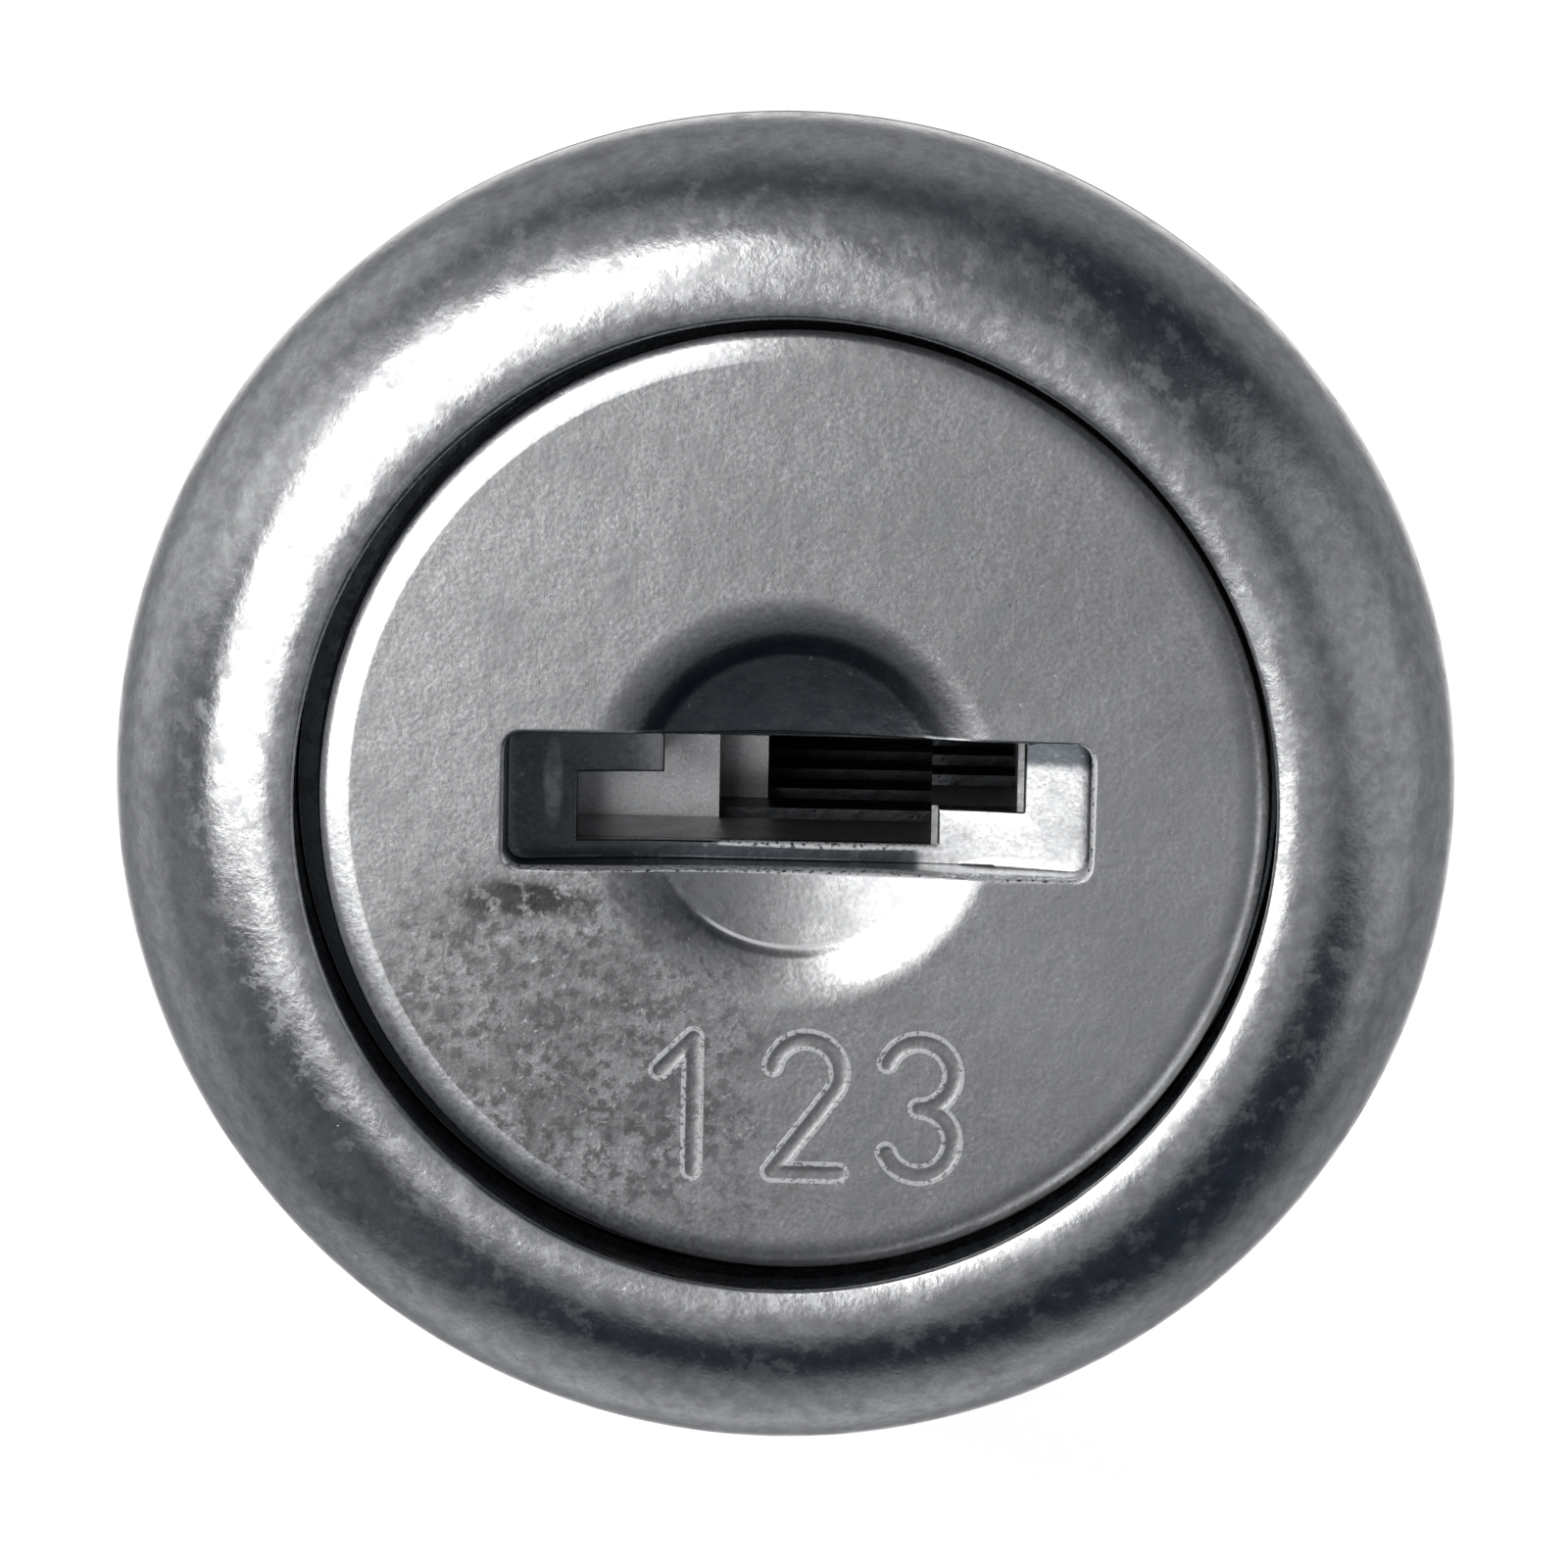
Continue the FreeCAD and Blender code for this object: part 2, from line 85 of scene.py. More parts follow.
bezel_radius = extent("housing")[1][0]
bezel_front = extent("housing")[0][1]
lug_back = extent("housing")[1][1]
face_radius = extent("plug")[1][0]
face_depth = extent("plug")[0][1]
tail_end = extent("plug")[1][1]
plug_radius = extent("wafer_1")[1][0] + wafer_inset
bore_radius = plug_radius + running_gap
face_bore_radius = face_radius + face_gap
head_back = face_depth + head_height
counterbore_floor = head_back + running_gap
barrel_end = extent("stop_washer")[0][1] - rear_gap
print("bezel", bezel_radius, "face", face_radius, face_depth, "barrel end", round(barrel_end, 2))

# %% [markdown]
# ## Surfaces from grids of points
# Turned, stamped and moulded metal is easily described as a grid: one direction runs round the lock's
# axis, the other along a section. A whole array gives all the points at once, and the faces join each
# point to its neighbours. A direction that comes back to its start is closed, so the piece is a sealed
# shell. The sign of the volume tells whether its faces point outwards.

# %% Grid of faces and the mesh that holds them


def table_faces(table):
    """Four-sided faces between neighbouring entries of a table of point numbers."""
    corners = [table[:-1, :-1], table[1:, :-1], table[1:, 1:], table[:-1, 1:]]
    return np.stack(corners, axis=-1).reshape(-1, 4).tolist()


def grid_faces(rows, columns, close_rows=True, close_columns=True):
    """Faces of a grid of points that is numbered row by row. Either direction may meet its own start."""
    table = np.arange(rows * columns).reshape(rows, columns)
    if close_rows:
        table = np.vstack([table, table[:1]])
    if close_columns:
        table = np.hstack([table, table[:, :1]])
    return table_faces(table)


def end_faces(rows, columns):
    """One face over the first row of a grid of points and one over its last, both turned outwards."""
    last = range((rows - 1) * columns, rows * columns)
    return [list(range(columns)), list(reversed(last))]


def fan(ring, pole):
    """Triangles between a closed ring of points and one point, for an end that lies on the axis."""
    following = np.roll(ring, -1)
    return np.stack([ring, following, np.full(len(ring), pole)], axis=-1).tolist()


def shaded_mesh(name, points, faces, sharp_angle=35.0, weld=False):
    """Mesh from points in millimetres, with its faces turned outwards and edges over an angle kept sharp.

    Points that lie in one place are made one if it is to be welded.
    """
    mesh = bpy.data.meshes.new(name)
    mesh.from_pydata((np.reshape(points, (-1, 3)) * MM).tolist(), [], faces)
    shell = bmesh.new()
    shell.from_mesh(mesh)
    if weld:
        bmesh.ops.remove_doubles(shell, verts=shell.verts, dist=1e-5 * MM)
    if shell.calc_volume(signed=True) < 0:
        bmesh.ops.reverse_faces(shell, faces=shell.faces)
    shell.to_mesh(mesh)
    shell.free()
    mesh.shade_smooth()
    mesh.set_sharp_from_angle(angle=math.radians(sharp_angle))
    return mesh


def add_piece(name, mesh, body, nodes):
    """Object at the origin that rides a body and stands for nodes, which it hides.

    With no body it is left free.
    """
    piece = bpy.data.objects.new(name, mesh)
    bpy.context.scene.collection.objects.link(piece)
    if body:
        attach(piece, body)
    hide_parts(*nodes)
    print(name, len(mesh.polygons), "faces")
    return piece


def around(count, marks=()):
    """Angles round the axis in radians, even, with both sides of each marked angle in degrees added."""
    even = np.linspace(0, 2 * np.pi, count, endpoint=False)
    sides = np.radians([mark + side for mark in marks for side in (-0.03, 0.03)]) % (2 * np.pi)
    return np.unique(np.concatenate([even, sides]))


def carry(section, angles):
    """Points of a section of (radius, depth) pairs carried round the lock's axis.

    The section may differ from angle to angle, and the angle from row to row. Across is radius times
    cosine, up is radius times sine.
    """
    section = np.broadcast_to(section, (len(angles), *np.shape(section)[-2:]))
    radius, depth = section[..., 0], section[..., 1]
    turn = np.reshape(angles, (len(angles), -1))
    return np.stack([radius * np.cos(turn), depth, radius * np.sin(turn)], axis=-1)


def add_attribute(mesh, name, values):
    """Writes one number for each point of a mesh."""
    layer = mesh.attributes.new(name, "FLOAT", "POINT")
    layer.data.foreach_set("value", np.ascontiguousarray(values, dtype=np.float32).ravel())


def points_of(mesh):
    """Places of a mesh's points in millimetres."""
    places = np.empty(3 * len(mesh.vertices), dtype=np.float32)
    mesh.vertices.foreach_get("co", places)
    return places.reshape(-1, 3) / MM


def rising(value, low, high):
    """Smooth step from 0 at the low border to 1 at the high one, falling if they are the other way round."""
    share = np.clip((value - low) / (high - low), 0, 1)
    return share * share * (3 - 2 * share)


def soften(corners, edge, steps=4):
    """Closed outlines with each corner replaced by a curve that leaves its sides at the edge's distance.

    The curve is a parabola: the corner weighs least at both ends and most in the middle. The edge is one
    distance for all corners or one for each.
    """
    to_last = np.roll(corners, 1, axis=-2) - corners
    to_next = np.roll(corners, -1, axis=-2) - corners
    last_length = np.linalg.norm(to_last, axis=-1, keepdims=True)
    next_length = np.linalg.norm(to_next, axis=-1, keepdims=True)
    reach = np.minimum(np.minimum(last_length, next_length) * 0.45, np.reshape(edge, (-1, 1)))
    start = corners + to_last / last_length * reach
    end = corners + to_next / next_length * reach
    share = np.linspace(0, 1, steps)[:, None]
    curve = (
        (1 - share) ** 2 * start[..., None, :]
        + 2 * share * (1 - share) * corners[..., None, :]
        + share ** 2 * end[..., None, :]
    )
    return curve.reshape(*corners.shape[:-2], -1, 2)


def sections(*corners):
    """Outlines for every angle from (radius, depth) corners, each of which may hold arrays."""
    size = max(np.size(value) for corner in corners for value in corner)
    pairs = [[np.broadcast_to(value, size) for value in corner] for corner in corners]
    return np.transpose(np.array(pairs, float), (2, 0, 1))


def ring_mesh(name, outlines, angles, sharp_angle=35.0):
    """Closed shell from one closed outline for each angle round the axis."""
    points = carry(outlines, angles)
    return shaded_mesh(name, points, grid_faces(*points.shape[:2]), sharp_angle)


print("helpers ready")

# %% [markdown]
# ## Bezel
# The bezel is the domed front of the die-cast housing. It could be a torus that is squashed, but its
# inner side is much flatter than its outer side. A profile carried round the axis follows both: from the
# lip a gentle slope rises to the crest, and from there a quarter ellipse falls to the rim. Its back is
# the flat ring that rests on the panel. A cast and polished ring is never quite true to the plug, which
# shows as a dark gap that is wider at the left than at the right. So the lip and the rim each have a
# middle of their own, and what lies between them goes over from one to the other. The wall behind the lip
# is marked for painted shade in the finish.

# %% Bezel as a turned profile
crest_radius = 8.4
lip_bend = 2.0
lip_edge = 0.12
rim_edge = 0.6
seat_edge = 0.15
neck_wall = 0.6
lip_foot = head_back - 0.9
bezel_shift = np.array([-0.18, 0.0, 0.06])
lip_shift = np.array([-0.13, 0.0, -0.01])
lip_radius = face_bore_radius - 0.13

quarter = np.linspace(0, np.pi / 2, 56)
crest_to_rim = np.stack([
    crest_radius + (bezel_radius - crest_radius) * np.sin(quarter),
    -rim_edge - (-rim_edge - bezel_front) * np.cos(quarter),
], axis=-1)
inner_radius = np.linspace(lip_radius, crest_radius, 12)
inner_depth = bezel_front + (crest_radius - inner_radius) ** 2 / (2 * lip_bend)
inner_side = np.stack([inner_radius, inner_depth], axis=-1)
bezel_back = soften(np.array([
    [bezel_radius, -seat_edge], [bezel_radius - seat_edge, 0], [bore_radius + neck_wall, 0],
    [bore_radius + neck_wall, counterbore_floor], [face_bore_radius, counterbore_floor],
    [face_bore_radius, lip_foot], inner_side[0], inner_side[4],
]), [0.04, 0.04, 0.04, 0.02, 0.04, 0.1, lip_edge, 0.001], 8)
bezel_profile = np.concatenate([crest_to_rim, bezel_back, inner_side[5:-1]])
to_rim = rising(bezel_profile[:, :1], lip_radius, bezel_radius)
bezel_points = carry(bezel_profile, around(400)) + lip_shift + to_rim * (bezel_shift - lip_shift)
bezel_mesh = shaded_mesh("bezel", bezel_points, grid_faces(*bezel_points.shape[:2]), 50.0)
radius, depth = bezel_profile.T
# Painted shade on the bore's wall behind the lip, kept as an attribute on the points
in_bore = (radius < lip_radius + 0.2) * (depth < counterbore_floor + 0.1)
behind_lip = in_bore * rising(depth, bezel_front + 0.14, bezel_front + 0.3)
add_attribute(bezel_mesh, "painted_shade", np.broadcast_to(behind_lip, bezel_points.shape[:2]))
bezel = add_piece("bezel", bezel_mesh, "housing", ["housing"])

# %% [markdown]
# ## Threaded barrel
# Behind the bezel the housing is a tube with a thread, a flat above and a flat below, and a lug at its
# end that stops the cam. The thread could be a separate coil laid on a tube, but here it is part of the
# surface. If the rows of the grid ran straight round, the slanting thread would cross them and its crests
# would look stepped. So each row runs along the thread, down by one pitch in a turn, and where the first
# and the last column meet, a row joins the one a pitch before it. The flats are the places where a
# straight line is nearer to the axis than the thread, and the columns on their borders are bent to follow
# them down the flanks. The bore has four grooves for the wafers.

# %% Barrel with thread, flats, grooves and stop lug
thread_pitch = 1.0
thread_depth = 0.5
thread_start = 0.5
thread_runout = 0.8
lug_half_angle = 30.0
lug_width = 1.1
barrel_edge = 0.5
groove_radius = 6.75
groove_half_height = 2.6
groove_end = 13.0
lock_ring_radius = 6.23
lock_ring = (13.5, 15.0)

# Corners of the thread's profile: share of a pitch, and how far down the flank
thread_corners = np.array([
    (0.09, 1), (0.13, 0.93), (0.4, 0.07), (0.44, 0), (0.56, 0), (0.6, 0.07), (0.87, 0.93), (0.91, 1),
])
first_depth, last_depth = counterbore_floor + 0.02, barrel_end - barrel_edge
thread_turns = np.arange(-1, math.ceil(barrel_end / thread_pitch) + 1)
row_place = (thread_turns[:, None] + thread_corners[:, 0]).ravel()
row_fall = np.tile(thread_corners[:, 1], len(thread_turns))
flat_border = math.asin(flat_height / barrel_radius)


def barrel_outside(angle, depth, fall=0.0):
    """Radius of the thread alone, which fades out at both ends, and with the flats where they are nearer."""
    fade_in = np.clip((depth - thread_start) / thread_runout, 0, 1)
    fade_out = np.clip((last_depth - depth) / thread_runout, 0, 1)
    thread = barrel_radius - thread_depth * (fade_in * fade_out) * fall
    flat = flat_height / np.maximum(np.abs(np.sin(angle)), 0.01)
    return thread, np.minimum(thread, flat)


def along_thread(angle):
    """Depth of every row at an angle: a full turn takes a row one pitch back, within the barrel's ends."""
    return np.clip((row_place - angle / (2 * np.pi)) * thread_pitch, first_depth, last_depth)


def to_border(angle, radius):
    """Angles moved so that the column on the border of a flat follows it down the thread.

    The border lies where the sine of the angle is the flat's height divided by the radius.
    """
    border = np.arcsin(flat_height / radius)
    folded = np.arcsin(np.abs(np.sin(angle)))
    before = folded * border / flat_border
    after = np.pi / 2 - (np.pi / 2 - folded) * (np.pi / 2 - border) / (np.pi / 2 - flat_border)
    moved = np.where(folded <= flat_border, before, after)
    return angle + np.sign(np.sin(angle) * np.cos(angle)) * (moved - folded)


def bore_groove(angle):
    """Radius of the bore where the wafers may stand out, level and upright: straight walls, round floor."""
    walls = groove_half_height / np.maximum(np.minimum(np.abs(np.sin(angle)), np.abs(np.cos(angle))), 0.01)
    return np.clip(walls, bore_radius, groove_radius)


borders = np.array([flat_border, np.pi - flat_border, np.pi + flat_border, 2 * np.pi - flat_border])
barrel_angles = around(288, (90 - lug_half_angle, 90 + lug_half_angle))
barrel_angles = np.unique(np.concatenate([barrel_angles, borders]))
each_column = barrel_angles[:, None]
on_lug = np.abs(np.degrees(barrel_angles) - 90) < lug_half_angle
end_depth = np.where(on_lug, lug_back, barrel_end)
thread_radius = barrel_outside(each_column, along_thread(each_column), row_fall)[0]
row_angles = to_border(each_column, thread_radius)
depths = along_thread(row_angles)
outside = barrel_outside(row_angles, depths, row_fall)[1]
plain = barrel_outside(barrel_angles, barrel_end)[1]
end_radius = np.where(on_lug, plain, plain - barrel_edge)
lug_inner = flat_height - lug_width
inside = bore_groove(barrel_angles)
rear = soften(sections(
    (plain, barrel_end - barrel_edge + 0.05), (end_radius, end_depth), (lug_inner + 0.02, end_depth),
    (lug_inner, barrel_end), (bore_radius + 0.1, barrel_end), (bore_radius, barrel_end - 0.1),
), 0.05, 3)
bore = sections(
    (bore_radius, lock_ring[1]), (lock_ring_radius, lock_ring[1] - 0.01),
    (lock_ring_radius, lock_ring[0]), (bore_radius, lock_ring[0] - 0.01),
    (bore_radius, groove_end + 0.01), (inside + 0.001, groove_end), (inside, counterbore_floor + 0.01),
)
barrel_grid = np.concatenate([np.stack([outside, depths], axis=-1), rear, bore], axis=1)
plain_angles = np.broadcast_to(each_column, (len(each_column), barrel_grid.shape[1] - len(row_place)))
barrel_points = carry(barrel_grid, np.hstack([row_angles, plain_angles]))

# After one turn each row of the thread meets the row a pitch before it
numbers = np.arange(barrel_points[..., 0].size).reshape(barrel_points.shape[:2])
meeting = np.arange(numbers.shape[1])
meeting[:len(row_place)] = np.maximum(meeting[:len(row_place)] - len(thread_corners), 0)
table = np.vstack([numbers, numbers[0][meeting]])
barrel_faces = table_faces(np.hstack([table, table[:, :1]]))
barrel_mesh = shaded_mesh("barrel", barrel_points, barrel_faces, 10.0, weld=True)
# Painted shade at the front of the bore, behind the plug's head, kept as an attribute on the points
add_attribute(barrel_mesh, "painted_shade", points_of(barrel_mesh)[:, 1] < counterbore_floor + 0.2)

# %% [markdown]
# The housing has one small round hole at its side, through which a pin pushes the retainer plate in to
# free the plug. Cutting a hole into a grid of points by hand leaves ragged cells. A Boolean modifier
# cuts it cleanly, and its result is then made the piece's own mesh.

# %% Release hole by a Boolean
release_radius = 0.8
hole_start, hole_end = 5.9, 9.0
lock_middle = sum(lock_ring) / 2


def prism(name, outline, low, high, direction="y"):
    """Closed bar from a closed outline of (x, z) points, between two depths, or along x from (depth, z)."""
    outline = np.asarray(outline, float)
    count = len(outline)
    first, second = outline[:, 0], outline[:, 1]
    ends = []
    for place in (low, high):
        along = np.full(count, float(place))
        order = (first, along, second) if direction == "y" else (along, first, second)
        ends.append(np.stack(order, axis=-1))
    faces = grid_faces(2, count, close_rows=False) + end_faces(2, count)
    return shaded_mesh(name, np.concatenate(ends), faces)


def circle(radius, count=48, middle=(0.0, 0.0)):
    """Even points round a circle."""
    turn = np.linspace(0, 2 * np.pi, count, endpoint=False)
    return np.stack([middle[0] + radius * np.cos(turn), middle[1] + radius * np.sin(turn)], axis=-1)


def carve(mesh, cutters, sharp_angle=35.0):
    """A mesh with other meshes taken out of it, one Boolean after the other."""
    body = bpy.data.objects.new(mesh.name + "_blank", mesh)
    bpy.context.scene.collection.objects.link(body)
    tools = []
    for cutter in cutters:
        tool = bpy.data.objects.new(cutter.name, cutter)
        bpy.context.scene.collection.objects.link(tool)
        cut = body.modifiers.new(cutter.name, "BOOLEAN")
        cut.object = tool
        cut.solver = "EXACT"
        cut.operation = "DIFFERENCE"
        tools.append(tool)
    graph = bpy.context.evaluated_depsgraph_get()
    carved = bpy.data.meshes.new_from_object(body.evaluated_get(graph))
    for used in tools + [body]:
        bpy.data.objects.remove(used)
    carved.name = mesh.name + "_cut"
    carved.shade_smooth()
    carved.set_sharp_from_angle(angle=math.radians(sharp_angle))
    return carved


hole_outline = circle(release_radius, middle=(lock_middle, 0))
hole = prism("release_hole", hole_outline, hole_start, hole_end, "x")
barrel = add_piece("barrel", carve(barrel_mesh, [hole], 10.0), "housing", ["housing"])

# %% [markdown]
# ## Face of the plug
# The face carries everything that the picture shows sharply: the mouth of the key slot, the round dish
# that guides the key, and stamped figures. Modelling it by pushing faces about would leave long thin
# triangles that shade badly. Instead, a grid is stretched between the Z-shaped key slot inside and the
# round edge outside. Its depth at each point is a function of the place: flat, with the dish and the
# grooves of the figures sunk into it. The grid is closer where the figures are.

# %% Stations that join the key slot, the mouth and the edge
key_half = np.array([3.65, 0.88])
key_shift = np.array([0.1, 0.0])
ward_width = 1.4
ward_gap = 0.25
mouth_half = np.array([4.76, 1.12])
mouth_shift = np.array([0.07, -0.05])
mouth_corner = 0.3
mouth_floor = 1.4
floor_level_half = 1.6
floor_bow = 0.055
key_step = key_half[0] - ward_width

# Each station: corner of the key slot, corner of the mouth, angle on the edge, and steps to the next
stations = [
    ((key_half[0], -ward_gap), (mouth_half[0], -mouth_half[1]), -24.0, 36),
    ((key_half[0], key_half[1]), (mouth_half[0], mouth_half[1]), 24.0, 100),
    ((-key_step, key_half[1]), (-2.7, mouth_half[1]), 118.0, 12),
    ((-key_step, ward_gap), (-3.3, mouth_half[1]), 127.0, 28),
    ((-key_half[0], ward_gap), (-mouth_half[0], mouth_half[1]), 156.0, 36),
    ((-key_half[0], -key_half[1]), (-mouth_half[0], -mouth_half[1]), 204.0, 270),
    ((key_step, -key_half[1]), (2.7, -mouth_half[1]), 298.0, 14),
    ((key_step, -ward_gap), (3.3, -mouth_half[1]), 307.0, 34),
]


def along_stations(values, closing):
    """Values at every step round the stations: straight from each station to the next."""
    values = np.array([*values, closing], float)
    steps = [station[3] for station in stations]
    share = np.concatenate([i + np.arange(n) / n for i, n in enumerate(steps)])
    return np.interp(share, np.arange(len(values)), values)


def outline_of(index):
    """Outline through one of the stations' corners."""
    corners = np.array([station[index] for station in stations])
    return np.stack([along_stations(corners[:, i], corners[0, i]) for i in (0, 1)], axis=-1)


key_outline = outline_of(0) + key_shift
edge_angle = np.radians(along_stations([station[2] for station in stations], stations[0][2] + 360))
edge_direction = np.stack([np.cos(edge_angle), np.sin(edge_angle)], axis=-1)
square_mouth = outline_of(1)
past_corner = np.abs(square_mouth) - (mouth_half - mouth_corner)
in_corner = (past_corner > 0).all(axis=1)
bent = past_corner * mouth_corner / np.maximum(np.linalg.norm(past_corner, axis=1), 1e-9)[:, None]
round_mouth = np.sign(square_mouth) * (mouth_half - mouth_corner + bent)
mouth_outline = np.where(in_corner[:, None], round_mouth, square_mouth) + mouth_shift
print("steps round the face", len(edge_angle))

# %% [markdown]
# The dish has a gentle outer slope, a steep step and a shallow bowl. Its slope at each radius is easy to
# read off its reflections, so the slopes are written down and added up to give the depth. The figures are
# plain digits. Each stroke is a line or an arc, and the distance from the nearest stroke gives the
# section of the groove. The ridge that the punch has raised along it is left to the finish, as a slight
# bump under a painted highlight.

# %% Depth of the dish and of the stamped figures
dish_slopes = np.array([
    (0, 0), (1.3, 0.12), (2.3, 0.19), (2.4, 0.14), (2.5, 0.5),
    (2.6, 0.32), (3.0, 0.21), (3.2, 0.13), (3.42, 0),
])
figures = "123"
figure_height = 2.5
figure_pitch = 1.85
figure_stroke = 0.29
figure_side = 0.11
figure_depth = 0.009
figure_middle = 0.3
figure_foot = -6.25
two_neck_angle = 35.0
two_sweep = 205.0
three_sweep = 250.0


def dish(radius):
    """Depth of the dish at a radius: all the slopes from its outside in to there, added up."""
    fine = np.linspace(0, dish_slopes[-1, 0], 700)
    slope = np.interp(fine, dish_slopes[:, 0], dish_slopes[:, 1])
    steps = (slope[1:] + slope[:-1]) / 2 * np.diff(fine)
    inwards = np.concatenate([np.cumsum(steps[::-1])[::-1], [0]])
    return np.interp(radius, fine, inwards)


def from_line(place, start, end):
    """Distance of places from a straight stroke."""
    start, end = np.array(start, float), np.array(end, float)
    run = end - start
    share = np.clip(((place - start) @ run) / (run @ run), 0, 1)
    return np.linalg.norm(place - start - share[..., None] * run, axis=-1)


def from_arc(place, middle, radius, first, sweep):
    """Distance of places from a round stroke that starts at an angle in degrees and sweeps on."""
    off = place - np.array(middle, float)
    turn = (np.degrees(np.arctan2(off[..., 1], off[..., 0])) - first) % 360
    on_arc = np.abs(np.linalg.norm(off, axis=-1) - radius)
    ends = [
        np.linalg.norm(off - radius * np.array([np.cos(a), np.sin(a)]), axis=-1)
        for a in np.radians([first, first + sweep])
    ]
    return np.where(turn < sweep, on_arc, np.minimum(*ends))


def from_figure(digit, place):
    """Distance of places from the nearest stroke of a digit that stands on the origin."""
    half = figure_stroke / 2
    radius = (figure_height - figure_stroke) / 4
    upper = figure_height - half - radius
    lower = half + radius
    top = figure_height - half
    if digit == "1":
        strokes = [from_line(place, (0, half), (0, top)), from_line(place, (-radius, upper), (0, top))]
    elif digit == "2":
        turn = np.radians(two_neck_angle)
        neck = (radius * np.cos(turn), upper - radius * np.sin(turn))
        strokes = [
            from_arc(place, (0, upper), radius, -two_neck_angle, two_sweep),
            from_line(place, neck, (-radius, half)),
            from_line(place, (-radius, half), (radius, half)),
        ]
    else:
        strokes = [
            from_arc(place, (0, upper), radius, -90, three_sweep),
            from_arc(place, (0, lower), radius, 90 - three_sweep, three_sweep),
        ]
    return np.min(strokes, axis=0)


def from_figures(place):
    """Distance of places on the face from the nearest stroke of all the figures."""
    distances = []
    for number, digit in enumerate(figures):
        middle = figure_middle + (number - (len(figures) - 1) / 2) * figure_pitch
        distances.append(from_figure(digit, place - np.array([middle, figure_foot])))
    return np.min(distances, axis=0)


def groove(distance):
    """Depth of a stamped stroke at a distance from its middle: full there, and nothing at its side."""
    side = np.clip((figure_stroke / 2 - distance) / figure_side, 0, 1)
    return figure_depth * side * side * (3 - 2 * side)


print("dish at its middle", round(float(dish(np.array(0.0))), 2), "mm deep")

# %% [markdown]
# The grid's rows run outwards: through the key slot's rim, over the mouth's floor, up its wall, round its
# edge, across the face, round the outer edge, down the side and back behind the head. The last row meets
# the first, so that the head is one sealed ring round the key slot.

# %% Head of the plug
mouth_edge = 0.08
edge_inset = 0.07
bevel_width = 0.54
bevel_slope = 0.28
bevel_drop = 0.03
outer_edge = 0.09
slot_edge = 0.07
finer_from, finer_to = 0.36, 0.82


def rows_between(inner, outer, shares):
    """Outlines at shares of the way from one outline to another."""
    return inner + np.asarray(shares)[:, None, None] * (outer - inner)


def with_depth(outlines, depth):
    """Points from outlines of (x, z) places and their depths along the axis."""
    depth = np.broadcast_to(depth, outlines.shape[:2])
    return np.stack([outlines[..., 0], depth, outlines[..., 1]], axis=-1)


def face_depth_at(place):
    """Depth of the face at a place, measured along the axis from the lock's origin."""
    return face_depth + dish(np.linalg.norm(place, axis=-1)) + groove(from_figures(place))


def floor_depth_at(place):
    """Depth of the mouth's floor: level between the wards, and rising towards both ends like a bow."""
    past = np.maximum(np.abs(place[..., 0]) - floor_level_half, 0)
    return face_depth + mouth_floor - floor_bow * past ** 2


def unit(rows):
    """Directions of length one."""
    return rows / np.linalg.norm(rows, axis=-1, keepdims=True)


outward = unit(mouth_outline - key_outline)
bend = np.linspace(0, np.pi / 2, 6)
opening, sinking = (1 - np.cos(bend))[:, None], (1 - np.sin(bend))[:, None]

slot_place = key_outline + outward * (slot_edge * opening)[..., None]
slot_depth = floor_depth_at(key_outline) + slot_edge * sinking
slot_wall = with_depth(np.stack([key_outline] * 2), np.array([[head_back], [head_back - 0.06]]))
slot_round = with_depth(slot_place, slot_depth)

floor_place = rows_between(slot_place[-1], mouth_outline, [0.2, 0.4, 0.6, 0.8, 0.95])
floor = with_depth(floor_place, floor_depth_at(floor_place))
mouth_rim = mouth_outline + outward * mouth_edge
rim_depth = face_depth_at(mouth_rim[None])[0]
foot_depth = floor_depth_at(mouth_outline)
wall_share = np.array([0.02, 0.2, 0.5, 0.8])[:, None]
wall_height = rim_depth + mouth_edge - foot_depth
wall = with_depth(np.stack([mouth_outline] * 4), foot_depth + wall_share * wall_height)
edge_place = mouth_outline + outward * (mouth_edge * opening)[..., None]
edge = with_depth(edge_place, rim_depth + mouth_edge * sinking)

face_share = np.concatenate([
    np.linspace(0, finer_from, 38)[1:], np.linspace(finer_from, finer_to, 88)[1:],
    np.linspace(finer_to, 1, 10)[1:],
])
flat_radius = face_radius - edge_inset - bevel_width
flat_edge = edge_direction * flat_radius
face_place = rows_between(mouth_rim, flat_edge, face_share)
face = with_depth(face_place, face_depth_at(face_place))

bevel_share = np.linspace(0, 1, 12)[1:-1]
bevel_reach = bevel_width - outer_edge
bevel_radius = flat_radius + bevel_share * bevel_reach
bevel_depth = face_depth + bevel_reach * bevel_slope * bevel_share ** 2 / 2
turn = np.linspace(np.arctan(bevel_slope), np.pi / 2, 8)
round_radius = face_radius - edge_inset - outer_edge * (1 - np.sin(turn))
round_depth = bevel_depth[-1] + outer_edge * (np.cos(turn[0]) - np.cos(turn)) + bevel_drop
outer_radius = np.concatenate([bevel_radius, round_radius])
outer_depth = np.concatenate([bevel_depth, round_depth])
outer_round = with_depth(edge_direction * outer_radius[:, None, None], outer_depth[:, None])
back_radius = np.array([face_radius, face_radius, face_radius - 0.03, face_radius - 0.1, plug_radius])
back_depth = np.array([face_depth + 1.0, head_back - 0.1, head_back - 0.03, head_back, head_back])
back = with_depth(edge_direction * back_radius[:, None, None], back_depth[:, None])

head_points = np.concatenate([slot_wall, slot_round, floor, wall, edge, face, outer_round, back])
head_mesh = shaded_mesh("plug_face", head_points, grid_faces(*head_points.shape[:2]), 60.0)
plug_face = add_piece("plug_face", head_mesh, "plug", ["plug"])
